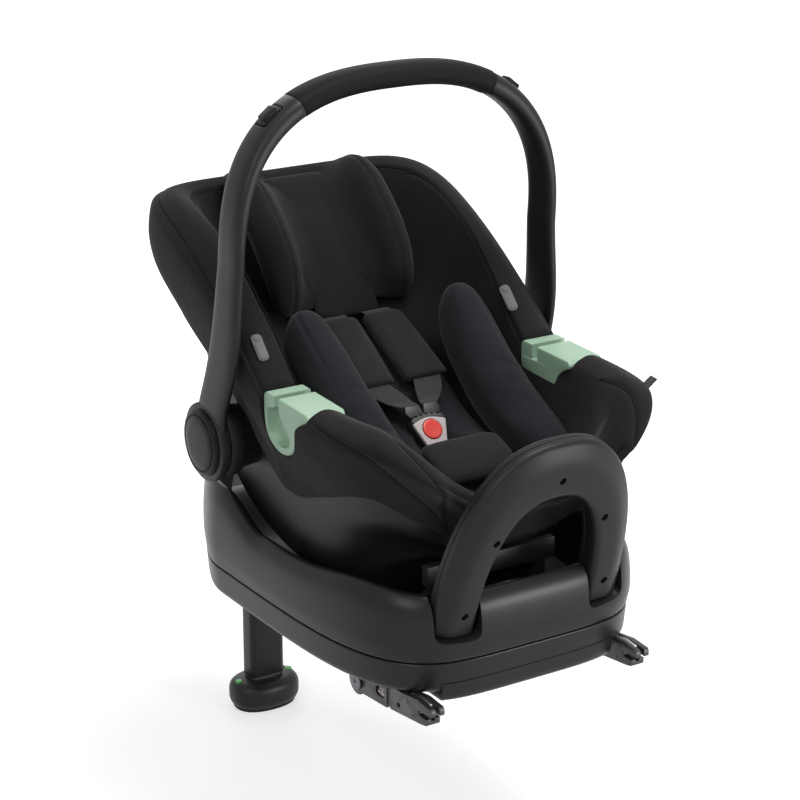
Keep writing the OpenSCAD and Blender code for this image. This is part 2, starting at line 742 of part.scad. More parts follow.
// Stations up the slope: distance, side position, width, reach from the backrest
wing_stations = [[0, 76, 22, 26], [14, 79, 42, 48], [46, 82, 52, 66], [92, 84, 56, 76],
    [136, 85, 54, 76], [170, 83, 46, 62], [188, 80, 32, 42], [196, 78, 18, 28]];
module headrest_wing(side) {
    color([0.05, 0.05, 0.055])
    on_side(side)
        loft([for (w = wing_stations)
            let (u = head_u[0] + w[0], v0 = head_back(u), v1 = max(v0 + 8, w[3]))
            section(on_back_point(w[1], u, (v0 + v1) / 2), [1, 0, 0], into_back,
                w[2], v1 - v0, 14, 2.3)]);
}

// ---- belt guides ---------------------------------------------------------------------------
guide_x = [150, 200];
// Side view of a guide in Y and Z: a cup with a tongue over it and a slot for the belt
guide_low_line = [[146, 303], [148, 299], [160, 294], [170, 286], [174, 270], [180, 257],
    [190, 249], [204, 246], [222, 249], [236, 258], [243, 270], [245, 285]];
guide_top_line = [[245, 306], [240, 311], [222, 311], [222, 296], [212, 296], [212, 308],
    [150, 308]];
guide_cup = [[212, 297], [222, 297], [236, 293], [238, 276], [231, 263], [216, 256], [196, 257],
    [192, 263], [206, 278]];
module guide_pocket() {
    plate(guide_x[0] - fit, guide_x[1] + 60)
        polygon(concat([for (p = guide_low_line) p + [p[0] > 205 ? fit : -fit, -fit]],
            [[245 + fit, 420], [146 - fit, 420]]));
}
module belt_guide(side) {
    color([0.69, 0.81, 0.73])
    on_side(side)
        plate(guide_x[0], guide_x[1])
            difference() {
                polygon(concat(guide_low_line, guide_top_line));
                polygon(guide_cup);
            }
}

// ---- handle ----------------------------------------------------------------------------------
bend_start = 215;
bend_x = arm_inner_x - 5;
lean = 44;
bow = 22;
arm_mid_x = arm_inner_x + arm_t / 2;
function handle_y(s) = hub_y - lean * s / handle_len - bow * sin(180 * s / handle_len);
// Points of the handle's middle line: straight arm, then a rounded bend to the top
function handle_arm_point(s) =
    [lerp(arm_mid_x, bend_x, max(0, s - 50) / (bend_start - 50)), handle_y(s), hub_z + s];
function handle_bend_point(t) =
    let (p = arch(t, bend_x, handle_len - bend_start, 2.5), s = bend_start + p[1])
    [p[0], handle_y(s), hub_z + s];
function bend_normal(t) =
    let (a = handle_bend_point(t - 0.5), b = handle_bend_point(t + 0.5),
        d = [b[0] - a[0], b[2] - a[2]])
    [d[1], 0, -d[0]] / norm(d);
function bend_section(t, thick, deep, n) =
    section(handle_bend_point(t), bend_normal(t), [0, 1, 0], thick, deep, n, 3);
grip_angle = 54;
grip_gap = 0.08;
arm_angles = [8, 18, 28, 37, 45, grip_angle];
module arm_blade() {
    loft([
        for (s = [18, 50, 110, 160, bend_start])
            section(handle_arm_point(s), [1, 0, 0], [0, 1, 0],
                lerp(arm_t, 15, max(0, s - 50) / (bend_start - 50)), lerp(56, 47, s / bend_start),
                12, 3),
        for (t = arm_angles)
            bend_section(t, lerp(15, 27, ease(t / grip_angle)), lerp(47, 44, t / grip_angle), 12)]);
}
button_angle = 46;
module on_handle_corner(side) {
    p = handle_bend_point(button_angle);
    n = bend_normal(button_angle);
    on_side(side) translate(p) rotate([0, atan2(n[0], n[2]), 0]) children();
}
module handle_arm(side) {
    color([0.09, 0.09, 0.10])
    difference() {
        on_side(side) {
            arm_blade();
            rod(arm_inner_x, arm_inner_x + arm_t, hub_y, hub_z, hub_r);
        }
        on_side(side) rod(0, 300, hub_y, hub_z, axle_r + running);
        on_handle_corner(side) translate([0, 0, 3]) linear_extrude(20) rounded(30, 22, 4);
    }
}
module handle_button(side) {
    color([0.14, 0.14, 0.15])
    on_handle_corner(side)
        translate([0, 0, 3 + press + fit]) {
            linear_extrude(9) rounded(29.2, 21.2, 3.6);
            translate([0, 0, 8]) linear_extrude(6) rounded(20, 16, 3);
        }
}
module handle_grip() {
    color([0.08, 0.08, 0.085])
    loft([for (i = [0:18])
        let (t = lerp(grip_angle + grip_gap, 180 - grip_angle - grip_gap, i / 18))
        section(handle_bend_point(t), bend_normal(t), [0, 1, 0], 28, 44, 16, 2.4)]);
}
module hub_cap(side) {
    color([0.13, 0.13, 0.14])
    on_side(side)
        translate([arm_inner_x + arm_t + eps, hub_y, hub_z])
            rotate([0, 90, 0])
                rotate_extrude()
                    polygon([[0, 0], [40, 0], [40, 3], [38, 5], [34.5, 5.6], [34, 4.6], [32.5, 4.6],
                        [32, 6.4], [0, 7.4]]);
}
module hub_axles() {
    color([0.6, 0.6, 0.62])
        for (side = [-1, 1])
            on_side(side)
                rod(arm_inner_x - 15.5, arm_inner_x + arm_t - 0.5, hub_y, hub_z, axle_r);
}

// ---- harness ---------------------------------------------------------------------------------
strap_w = 38;
strap_t = 1.6;
buckle_u = -7;
buckle_v = 56;
buckle_tilt = 10.6;
buckle_end = 22;
tongue_end = 38;
crotch_strap_end = 34.2;
module on_buckle() {
    on_back() translate([0, buckle_u, buckle_v]) rotate([buckle_tilt, 0, 0]) children();
}
pad_u = 72;
module shoulder_pad(side) {
    color([0.06, 0.06, 0.065])
    on_side(side)
        loft([for (k = [[0, 46, 10], [8, 50, 15], [56, 50, 16], [100, 48, 15], [110, 44, 9]])
            section(on_back_point(lerp(28, 44, k[0] / 110), pad_u + k[0], 47),
                [1, 0, 0], into_back, k[1], k[2], 12, 4)]);
}
module harness_straps() {
    color([0.04, 0.04, 0.04])
        for (side = [-1, 1])
            on_side(side) {
                loft([for (k = [[13.5, buckle_u + tongue_end * cos(buckle_tilt) + 0.45,
                        buckle_v + tongue_end * sin(buckle_tilt), 22], [21, 48, 55, 34],
                        [28, pad_u - fit, 47, 38]])
                    section(on_back_point(k[0], k[1], k[2]), [1, 0, 0], into_back,
                        k[3], strap_t, 8, 8)]);
                loft([for (k = [[pad_u + 110 + fit, 46, 38], [192, 28, 38], [198, 8, 38]])
                    section(on_back_point(45, k[0], k[1]), [1, 0, 0], into_back,
                        k[2], strap_t, 8, 8)]);
            }
    // The crotch strap, from the buckle's lower end to the seat
    color([0.04, 0.04, 0.04])
        on_buckle() translate([0, 0, -1])
            box([-15, 15], [-crotch_strap_end, -buckle_end - fit], [-strap_t / 2, strap_t / 2]);
}
module harness_tongues() {
    color([0.05, 0.05, 0.055])
    on_buckle()
        for (side = [-1, 1])
            on_side(side)
                translate([0, 0, -3])
                    linear_extrude(6)
                        polygon([[0.3, 25.3], [20, 23.3], [24, 30], [22, tongue_end], [3, tongue_end]]);
}
module buckle_outline() {
    polygon([[-23, 14], [-21, 22], [0, 25], [21, 22], [23, 14], [13, 4 - buckle_end],
        [10, -buckle_end], [-10, -buckle_end], [-13, 4 - buckle_end]]);
}
module buckle_body() {
    color([0.72, 0.72, 0.71])
    on_buckle()
        difference() {
            translate([0, 0, -10]) linear_extrude(18) buckle_outline();
            translate([0, 4, 8 - press - 2.5]) cylinder(h = 10, r = button_r + fit);
        }
}
module buckle_button() {
    color([0.85, 0.10, 0.08])
    on_buckle()
        translate([0, 4, 8 - 2.3]) {
            cylinder(h = 2.6, r = button_r);
            translate([0, 0, 2.59]) cylinder(h = 0.9, r1 = button_r, r2 = button_r - 1.5);
        }
}
module crotch_pad() {
    color([0.06, 0.06, 0.065])
        loft([
            section([0, 116, 220.8], [1, 0, 0], [0, 0.35, -0.94], 74, 6, 16, 4),
            section([0, 121, 223.8], [1, 0, 0], [0, 0.38, -0.92], 84, 12, 16, 4),
            section([0, 140, 230.8], [1, 0, 0], [0, 0.35, -0.94], 86, 17, 16, 4),
            section([0, 162, 235.8], [1, 0, 0], [0, 0.3, -0.95], 84, 15, 16, 4),
            section([0, 170, 236.8], [1, 0, 0], [0, 0.25, -0.97], 76, 8, 16, 4)]);
}
adjuster_y = 84;
adjuster_r = 11;
module adjuster_button() {
    color([0.18, 0.18, 0.19])
        translate([0, adjuster_y, seat_z(adjuster_y) - 6]) cylinder(h = 9, r = adjuster_r);
}
module adjuster_strap() {
    color([0.04, 0.04, 0.04])
        box([-12.5, 12.5], [adjuster_y - 26, adjuster_y - adjuster_r - 0.6],
            [seat_z(adjuster_y) + soft_gap, seat_z(adjuster_y) + soft_gap + strap_t]);
}

// ---- carrier latch -------------------------------------------------------------------------------
pawl_y = 396;
pawl_z = 84;
pawl_x = [37, 43];
lug_x = [45, 52];
pawl_shaft_r = 4;
module latch_lugs() {
    difference() {
        for (side = [-1, 1])
            on_side(side)
                plate(lug_x[0], lug_x[1])
                    polygon([[372, 112], [388, 80], [396, 75], [404, 80], [420, 134], [400, 134]]);
        loft([shell_ring(0.06, -1), shell_ring(0.3, -1), shell_ring(0.6, -1)]);
    }
}
module latch_pawls() {
    color([0.55, 0.55, 0.57]) {
        for (side = [-1, 1])
            on_side(side)
                plate(pawl_x[0], pawl_x[1])
                    polygon([[pawl_y - 8, pawl_z + 2], [pawl_y - 9, pawl_z - 16],
                        [pawl_y - 12, pawl_z - 18], [pawl_y - 11, pawl_z - 23],
                        [pawl_y - 2, pawl_z - 22], [pawl_y + 7, pawl_z - 2],
                        [pawl_y + 4, pawl_z + 7], [pawl_y - 4, pawl_z + 7]]);
        rod(-lug_x[1] + 1, lug_x[1] - 1, pawl_y, pawl_z, pawl_shaft_r);
    }
}
// Rear wall of the carrier shell between two of its levels: X across, Y up the wall, Z inwards
function rear_wall(share) =
    [level(share, 3), lerp(seat_bottom, seat_head_z, share)];
rear_low = rear_wall(0.6);
rear_high = rear_wall(0.85);
rear_slope = atan2(rear_high[1] - rear_low[1], rear_high[0] - rear_low[0]);
module on_rear() {
    translate([0, (rear_low[0] + rear_high[0]) / 2, (rear_low[1] + rear_high[1]) / 2])
        rotate([rear_slope, 0, 0]) children();
}
lever_w = 110;
lever_h = 40;
module lever_rails() {
    on_rear()
        for (side = [-1, 1])
            on_side(side) {
                box([lever_w / 2 + fit, lever_w / 2 + 6], [-32, 25], [-12, -2]);
                box([lever_w / 2 - 5, lever_w / 2 + 6], [-32, 25], [-12, -9]);
                box([lever_w / 2 + fit, lever_w / 2 + 6], [-32, 25], [-3, 3]);
            }
}
module release_lever() {
    color([0.16, 0.16, 0.17])
    on_rear()
        difference() {
            union() {
                box([-lever_w / 2, lever_w / 2], [-lever_h / 2, lever_h / 2], [-8.7, -1]);
                box([-lever_w / 2 + 12, lever_w / 2 - 12], [-lever_h / 2, -lever_h / 2 + 8],
                    [-20, -8]);
            }
            translate([0, 5, -12]) linear_extrude(7) rounded(60, 16, 7);
        }
}
module side_tags() {
    color([0.35, 0.35, 0.36])
        for (side = [-1, 1])
            on_side(side)
                translate([seat_w / 2 - 30, seat_middle + 47, seat_side_z + 48.6])
                    rotate([41, 12, 0])
                    linear_extrude(1.6) rounded(13, 38, 6);
}
module pull_tab() {
    color([0.03, 0.03, 0.03])
        translate([194.1, 74.3, 280.95]) rotate([0, 50, -8])
            linear_extrude(30) rounded(1.6, 15, 0.7);
}

base_lower_shell();
base_upper_shell();
dock_cradle();
dock_bars();
rebound_bar_front();
rebound_bar_rear();
rebound_bar_screws();
underside_pads();
isofix_brackets();
isofix_arm(-1);  // isofix_arm_left
isofix_arm(1);  // isofix_arm_right
isofix_housing(-1);  // isofix_housing_left
isofix_housing(1);  // isofix_housing_right
isofix_hook(-1);  // isofix_hook_left
isofix_hook(1);  // isofix_hook_right
isofix_release(-1);  // isofix_release_left
isofix_release(1);  // isofix_release_right
leg_pin();
leg_outer_tube();
leg_button();
leg_inner_tube();
foot_shell();
foot_sole();
foot_indicators();
carrier_shell();
foam_liner();
seat_cover();
seat_pad();
insert_cushion();
insert_bolster(-1);  // insert_bolster_left
insert_bolster(1);  // insert_bolster_right
headrest_pad();
headrest_wing(-1);  // headrest_wing_left
headrest_wing(1);  // headrest_wing_right
belt_guide(-1);  // belt_guide_left
belt_guide(1);  // belt_guide_right
hub_axles();
handle_arm(-1);  // handle_arm_left
handle_arm(1);  // handle_arm_right
handle_grip();
hub_cap(-1);  // hub_cap_left
hub_cap(1);  // hub_cap_right
handle_button(-1);  // handle_button_left
handle_button(1);  // handle_button_right
shoulder_pad(-1);  // shoulder_pad_left
shoulder_pad(1);  // shoulder_pad_right
harness_straps();
harness_tongues();
buckle_body();
buckle_button();
crotch_pad();
adjuster_button();
adjuster_strap();
latch_pawls();
release_lever();
side_tags();
pull_tab();
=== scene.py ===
"""Infant car seat on its base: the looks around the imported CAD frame."""

import math

import bmesh
import bpy
import numpy as np
from mathutils import Matrix, Vector


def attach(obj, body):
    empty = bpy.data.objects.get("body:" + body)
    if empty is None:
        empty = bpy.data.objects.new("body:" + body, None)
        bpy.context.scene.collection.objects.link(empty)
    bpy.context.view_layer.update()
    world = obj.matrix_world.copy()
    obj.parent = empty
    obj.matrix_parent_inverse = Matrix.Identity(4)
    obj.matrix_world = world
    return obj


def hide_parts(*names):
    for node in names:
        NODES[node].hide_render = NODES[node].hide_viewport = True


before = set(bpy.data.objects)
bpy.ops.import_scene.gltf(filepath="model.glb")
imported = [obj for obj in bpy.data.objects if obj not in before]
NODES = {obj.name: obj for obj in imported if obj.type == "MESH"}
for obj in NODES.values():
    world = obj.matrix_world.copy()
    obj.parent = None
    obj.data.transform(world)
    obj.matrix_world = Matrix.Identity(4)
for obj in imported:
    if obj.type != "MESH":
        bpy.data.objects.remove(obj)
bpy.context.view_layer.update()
MM = 0.001
X, Y = [1, 0, 0], [0, 1, 0]

# ---- maths: lengths are in millimetres and angles in degrees, in the part's frame ---------


def lerp(a, b, t):
    return a + (b - a) * t


def ease(t):
    t = np.clip(t, 0, 1)
    return t * t * (3 - 2 * t)


def cosd(t):
    return np.cos(np.radians(t))


def sind(t):
    return np.sin(np.radians(t))


def arch(t, a, b, n):
    r = ((np.abs(cosd(t)) / a) ** n + (np.abs(sind(t)) / b) ** n) ** (-1 / n)
    return r * cosd(t), r * sind(t)


def plan(t, a, front, middle, rear, front_n, rear_n):
    fx, fy = arch(t, a, middle - front, front_n)
    rx, ry = arch(t, a, rear - middle, rear_n)
    before = sind(t) < 0
    return np.where(before, fx, rx), middle + np.where(before, fy, ry)


def ring_angles(n):
    return -90 + 360 * (np.arange(n) + 0.5) / n


def pchip(xs, ys, x):
    """Smooth curve through the points (xs, ys) that adds no bumps of its own."""
    xs, ys = np.asarray(xs, float), np.asarray(ys, float)
    h, d = np.diff(xs), np.diff(ys) / np.diff(xs)
    m = np.zeros(len(xs))
    m[0], m[-1] = d[0], d[-1]
    for i in range(1, len(xs) - 1):
        if d[i - 1] * d[i] > 0:
            w1, w2 = 2 * h[i] + h[i - 1], h[i] + 2 * h[i - 1]
            m[i] = (w1 + w2) / (w1 / d[i - 1] + w2 / d[i])
    x = np.clip(x, xs[0], xs[-1])
    i = np.clip(np.searchsorted(xs, x, side="right") - 1, 0, len(xs) - 2)
    t = (x - xs[i]) / h[i]
    return (
        (1 + 2 * t) * (1 - t) ** 2 * ys[i]
        + t * (1 - t) ** 2 * h[i] * m[i]
        + t * t * (3 - 2 * t) * ys[i + 1]
        + t * t * (t - 1) * h[i] * m[i + 1]
    )


def catmull(a, b, c, d, t):
    """Catmull-Rom from b to c, with a before them and d after."""
    bend, twist = 2 * a - 5 * b + 4 * c - d, 3 * b - a - 3 * c + d
    return 0.5 * (2 * b + (c - a) * t + bend * t * t + twist * t**3)


def spline(points, steps):
    """Catmull-Rom through control arrays: steps points for each span, and the last one."""
    p = [np.asarray(q, float) for q in points]
    p = [2 * p[0] - p[1], *p, 2 * p[-1] - p[-2]]
    spans = zip(p, p[1:], p[2:], p[3:])
    return [*[catmull(*span, t) for span in spans for t in np.arange(steps) / steps], p[-2]]


def closed_spline(points, steps):
    """Catmull-Rom round a closed outline."""
    p = np.asarray(points, float)
    spans = zip(np.roll(p, 1, 0), p, np.roll(p, -1, 0), np.roll(p, -2, 0))
    return np.array([catmull(*span, t) for span in spans for t in np.arange(steps) / steps])


def fillet(points, radius, steps=5):
    """A closed outline with its corners rounded: radius is one number or one for each corner."""
    p = [np.asarray(q, float) for q in points]
    n = len(p)
    radii = [radius] * n if np.isscalar(radius) else radius
    out = []
    for i in range(n):
        a, b, c = p[i - 1], p[i], p[(i + 1) % n]
        u, v = (a - b), (c - b)
        lu, lv = np.linalg.norm(u), np.linalg.norm(v)
        cut = min(radii[i], lu * 0.49, lv * 0.49)
        if cut < 1e-3:
            out.append(b)
            continue
        s, e = b + u / lu * cut, b + v / lv * cut
        for t in np.linspace(0, 1, steps + 1):
            out.append((1 - t) ** 2 * s + 2 * t * (1 - t) * b + t * t * e)
    return np.array(out)


def section(at, e1, e2, w, h, n, p):
    t = ring_angles(n)[:, None]
    c, s = cosd(t), sind(t)
    return (
        np.asarray(at, float)
        + np.asarray(e1, float) * w / 2 * np.sign(c) * np.abs(c) ** (2 / p)
        + np.asarray(e2, float) * h / 2 * np.sign(s) * np.abs(s) ** (2 / p)
    )


def rings_between(rows, count, make):
    """make(row) for count rows, spread smoothly along a table of numbers."""
    rows = np.asarray(rows, float)
    at = np.arange(len(rows))
    spots = np.linspace(0, len(rows) - 1, count)
    return [make([pchip(at, rows[:, c], s) for c in range(rows.shape[1])]) for s in spots]


# ---- making pieces -----------------------------------------------------------------


def points_of(obj):
    """The vertices of a piece, in millimetres."""
    return np.array([q.co for q in obj.data.vertices]) / MM


def set_points(obj, points):
    obj.data.vertices.foreach_set("co", (points * MM).ravel())


def link(obj):
    bpy.context.scene.collection.objects.link(obj)
    return obj


def mesh_piece(name, verts, faces, mat, smooth=True, sharp=40):
    """A mesh from points in millimetres. sharp is the angle past which an edge stays hard."""
    mesh = bpy.data.meshes.new(name)
    mesh.from_pydata((np.asarray(verts, float) * MM).tolist(), [], [list(f) for f in faces])
    mesh.update()
    obj = link(bpy.data.objects.new(name, mesh))
    tidy(obj, smooth, sharp)
    mesh.materials.append(mat)
    return obj


def tidy(obj, smooth=True, sharp=40):
    bm = bmesh.new()
    bm.from_mesh(obj.data)
    bmesh.ops.remove_doubles(bm, verts=bm.verts, dist=1e-6)
    bmesh.ops.recalc_face_normals(bm, faces=bm.faces)
    bm.to_mesh(obj.data)
    bm.free()
    for p in obj.data.polygons:
        p.use_smooth = smooth
    if smooth and sharp < 180:
        obj.data.set_sharp_from_angle(angle=math.radians(sharp))


def grid_faces(rows, n, closed_rows=False):
    faces = []
    for k in range(rows if closed_rows else rows - 1):
        for i in range(n):
            j, m = (i + 1) % n, (k + 1) % rows
            faces.append((k * n + i, k * n + j, m * n + j, m * n + i))
    return faces


def strip(n, start):
    """Faces that close a ring whose points lie in mirrored pairs."""
    return [
        tuple(start + k for k in (i, i + 1, n - 2 - i, n - 1 - i)) for i in range(n // 2 - 1)
    ]


def loft(name, rings, mat, closed=False, caps=True, sharp=40):
    """A surface through rings; closed joins the last ring to the first, or caps close it."""
    n = len(rings[0])
    faces = grid_faces(len(rings), n, closed)
    if caps == "strip":
        faces += strip(n, 0) + strip(n, (len(rings) - 1) * n)
    elif caps and not closed:
        faces.append(tuple(range(n - 1, -1, -1)))
        faces.append(tuple(range((len(rings) - 1) * n, len(rings) * n)))
    return mesh_piece(name, np.concatenate(rings), faces, mat, sharp=sharp)


def curve_plate(name, outlines, low, high, bevel, mat, to_part, sharp=50, segments=3):
    """A flat outline in (u, v) with holes, made solid from low to high with rounded edges.
    to_part places its axes u, v and the extrusion in the part's frame."""
    curve = bpy.data.curves.new(name, "CURVE")
    curve.dimensions = "2D"
    curve.fill_mode = "BOTH"
    for outline in outlines:
        s = curve.splines.new("POLY")
        s.points.add(len(outline) - 1)
        for point, q in zip(s.points, outline):
            point.co = (q[0] * MM, q[1] * MM, 0, 1)
        s.use_cyclic_u = True
    curve.extrude = ((high - low) / 2 - bevel) * MM
    curve.bevel_depth = bevel * MM
    curve.bevel_resolution = segments
    curve.offset = -bevel * MM
    holder = link(bpy.data.objects.new(name + "_curve", curve))
    bpy.context.view_layer.update()
    mesh = bpy.data.meshes.new_from_object(
        holder.evaluated_get(bpy.context.evaluated_depsgraph_get())
    )
    bpy.data.objects.remove(holder)
    mesh.name = name
    mesh.transform(Matrix.Translation((0, 0, (low + high) / 2 * MM)))
    mesh.transform(to_part)
    mesh.materials.clear()
    mesh.materials.append(mat)
    obj = link(bpy.data.objects.new(name, mesh))
    tidy(obj, True, sharp)
    return obj


def axes(origin, u, v, w):
    """Matrix that takes (u, v, w) axes at a place in millimetres into the part's frame."""
    m = Matrix.Identity(4)
    for k, a in enumerate((u, v, w)):
        for r in range(3):
            m[r][k] = a[r]
    for r in range(3):
        m[r][3] = origin[r] * MM
    return m


SIDES = ((-1, "left"), (1, "right"))


def facing(side, at=(0, 0, 0)):
    """Axes for an outline drawn as (y, z) and extruded outward: side is -1 left or 1 right."""
    return axes(at, (0, 1, 0), (0, 0, 1), (side, 0, 0))


def cutter_plate(outline, low, high, mat, to_part):
    """A plate with plain edges, to cut another piece with."""
    return curve_plate("cutter", [outline], low, high, 0.1, mat, to_part, segments=0)


def apply_modifiers(obj):
    bpy.context.view_layer.update()
    mesh = bpy.data.meshes.new_from_object(
        obj.evaluated_get(bpy.context.evaluated_depsgraph_get())
    )
    obj.modifiers.clear()
    obj.data = mesh
    return obj


def boolean(obj, cutters, operation="DIFFERENCE", sharp=40):
    for c in cutters:
        m = obj.modifiers.new("cut", "BOOLEAN")
        m.operation, m.solver, m.object = operation, "EXACT", c
    apply_modifiers(obj)
    for c in cutters:
        bpy.data.objects.remove(c)
    tidy(obj, True, sharp)
    return obj


def soften(obj, width, segments=2, angle=35):
    """Rounded edges, as a moulding has."""
    m = obj.modifiers.new("soft", "BEVEL")
    m.width, m.segments = width * MM, segments
    m.limit_method, m.angle_limit = "ANGLE", math.radians(angle)
    m.harden_normals = False
    m.use_clamp_overlap = True
    apply_modifiers(obj)
    tidy(obj, True, 50)
    return obj


def from_cad(name, node, mat, bevel=0.6, angle=35, segments=2):
    """A copy of a CAD node with its flat faces joined and its edges rounded."""
    mesh = NODES[node].data.copy()
    mesh.name = name
    mesh.materials.clear()
    mesh.materials.append(mat)
    for p in mesh.polygons:
        p.material_index = 0
    bm = bmesh.new()
    bm.from_mesh(mesh)
    bmesh.ops.remove_doubles(bm, verts=bm.verts, dist=2e-6)
    bmesh.ops.dissolve_limit(
        bm, angle_limit=math.radians(1.0), verts=bm.verts, edges=bm.edges
    )
    bm.to_mesh(mesh)
    bm.free()
    obj = link(bpy.data.objects.new(name, mesh))
    if bevel:
        soften(obj, bevel, segments, angle)
    else:
        tidy(obj, True, angle)
    return obj


def tube(name, points, radius, mat, sides=8, closed=False, flat=1.0):
    """A thin round piece along points: piping, thread, a rod."""
    p = np.asarray(points, float)
    n = len(p)
    if closed:
        ahead, back = np.roll(p, -1, 0), np.roll(p, 1, 0)
        tangent = ahead - back
    else:
        tangent = np.gradient(p, axis=0)
    tangent /= np.linalg.norm(tangent, axis=1)[:, None] + 1e-12
    up = np.array([0.02, 0.03, 1.0])
    up -= tangent[0] * (up @ tangent[0])
    up /= np.linalg.norm(up)
    rings = []
    for k in range(n):
        up = up - tangent[k] * (up @ tangent[k])
        up /= np.linalg.norm(up)
        side = np.cross(tangent[k], up)
        r = radius if np.isscalar(radius) else radius[k]
        a = np.arange(sides) * 2 * np.pi / sides
        rings.append(
            p[k] + r * (np.cos(a)[:, None] * side * flat + np.sin(a)[:, None] * up)
        )
    return loft(name, rings, mat, closed=closed, caps=not closed, sharp=60)


def join(name, parts, mat=None):
    """Several meshes as one piece."""
    bm = bmesh.new()
    materials = []
    for o in parts:
        mesh = o.data.copy()
        mesh.transform(o.matrix_world)
        for p in mesh.polygons:
            m = o.data.materials[p.material_index] if o.data.materials else mat
            if m not in materials:
                materials.append(m)
            p.material_index = materials.index(m)
        bm.from_mesh(mesh)
        bpy.data.meshes.remove(mesh)
    out = bpy.data.meshes.new(name)
    bm.to_mesh(out)
    bm.free()
    for m in materials:
        out.materials.append(m)
    for o in parts:
        bpy.data.objects.remove(o)
    return link(bpy.data.objects.new(name, out))


def mirrored(obj, name):
    """The same piece on the other side."""
    mesh = obj.data.copy()
    mesh.name = name
    mesh.transform(Matrix.Diagonal((-1, 1, 1, 1)))
    mesh.flip_normals()
    return link(bpy.data.objects.new(name, mesh))


def place(obj, body, slot, *nodes, fill=None):
    """The piece rides on a body and stands for CAD nodes, which are hidden; the finish slot is not used."""
    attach(obj, body)
    if nodes:
        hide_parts(*nodes)
    return obj


def place_pair(right, left_name, body, slot, node, fill=None):
    """Places a right-hand piece and its mirror image, for the nodes node_right and node_left."""
    left = mirrored(right, left_name)
    place(right, body, slot, f"{node}_right", fill=fill)
    place(left, body, slot, f"{node}_left", fill=fill)


# ---- materials: node trees whose patterns lie in the piece's own coordinates, in metres ----


BANDS = 314  # the scale of a wave texture whose bands are 1 mm apart


def new_material(name, colour, roughness, metallic=0.0, sheen=0.0, specular=0.5):
    """A principled material, and the piece's own coordinates for its patterns."""
    mat = bpy.data.materials.new(name)
    mat.use_nodes = True
    tree = mat.node_tree
    tree.nodes.clear()
    out = tree.nodes.new("ShaderNodeOutputMaterial")
    shader = tree.nodes.new("ShaderNodeBsdfPrincipled")
    tree.links.new(shader.outputs["BSDF"], out.inputs["Surface"])
    for key, value in (("Base Color", (*colour, 1)), ("Roughness", roughness), ("Metallic", metallic),
                       ("Specular IOR Level", specular), ("Sheen Weight", sheen), ("Sheen Roughness", 0.45)):
        shader.inputs[key].default_value = value
    return mat, tree, shader, tree.nodes.new("ShaderNodeTexCoord").outputs["Object"]


def add_node(tree, kind, links=(), **values):
    node = tree.nodes.new(kind)
    for key, value in values.items():
        if key in node.inputs:
            node.inputs[key].default_value = value
        else:
            setattr(node, key, value)
    for source, target in links:
        tree.links.new(source, node.inputs[target])
    return node


def noise(tree, at, scale, detail=3, rough=0.55):
    node = add_node(tree, "ShaderNodeTexNoise", [(at, "Vector")], Scale=scale, Detail=detail)
    node.inputs["Roughness"].default_value = rough
    return node.outputs["Fac"]


def waves(tree, at, scale, direction, distortion=0.4):
    node = add_node(
        tree, "ShaderNodeTexWave", [(at, "Vector")], Scale=scale, Distortion=distortion
    )
    node.wave_type, node.bands_direction = "BANDS", direction
    node.inputs["Detail Scale"].default_value = 2
    return node.outputs["Fac"]


def maths(tree, operation, a, b):
    node = tree.nodes.new("ShaderNodeMath")
    node.operation = operation
    for k, v in enumerate((a, b)):
        if isinstance(v, (int, float)):
            node.inputs[k].default_value = v
        else:
            tree.links.new(v, node.inputs[k])
    return node.outputs[0]


def spread(tree, value, low, high):
    node = tree.nodes.new("ShaderNodeMapRange")
    tree.links.new(value, node.inputs["Value"])
    node.inputs["To Min"].default_value, node.inputs["To Max"].default_value = low, high
    return node.outputs["Result"]


def tint(tree, value, low, high, start=0.3, stop=0.7):
    node = tree.nodes.new("ShaderNodeValToRGB")
    node.color_ramp.elements[0].position, node.color_ramp.elements[1].position = start, stop
    node.color_ramp.elements[0].color = (*low, 1)
    node.color_ramp.elements[1].color = (*high, 1)
    tree.links.new(value, node.inputs["Fac"])
    return node.outputs["Color"]


def shade(colour, k):
    return tuple(c * k for c in colour)


def bump(tree, shader, height, strength, distance, under=None):
    node = add_node(
        tree, "ShaderNodeBump", [(height, "Height")], Strength=strength, Distance=distance
    )
    if under is not None:
        tree.links.new(under, node.inputs["Normal"])
    tree.links.new(node.outputs["Normal"], shader.inputs["Normal"])
    return node.outputs["Normal"]


def fabric(name, colour, pitch=1.3, strength=0.35, sheen=0.35, melange=0.25, wrinkle=0.25):
    """Knitted cloth: crossing threads of the given pitch in mm, slight melange, soft wrinkles."""
    mat, tree, shader, at = new_material(name, colour, 0.92, sheen=sheen, specular=0.15)
    x, y, z = (waves(tree, at, BANDS / pitch, axis) for axis in "XYZ")
    threads = maths(tree, "ADD", maths(tree, "ADD", x, y), z)
    fuzz = noise(tree, at, 1800, 2)
    large = noise(tree, at, 14, 4, 0.5)
    fuzz_part, large_part = maths(tree, "MULTIPLY", fuzz, 0.65), maths(tree, "MULTIPLY", large, 0.35)
    mixed = maths(tree, "ADD", fuzz_part, large_part)
    colours = tint(tree, mixed, shade(colour, 1 - melange), shade(colour, 1 + melange), 0.35, 0.65)
    tree.links.new(colours, shader.inputs["Base Color"])
    tree.links.new(spread(tree, fuzz, 0.86, 0.97), shader.inputs["Roughness"])
    soft = bump(tree, shader, noise(tree, at, 22, 3, 0.5), wrinkle, 0.004)
    bump(tree, shader, maths(tree, "ADD", threads, fuzz), strength, 0.0004, soft)
    return mat


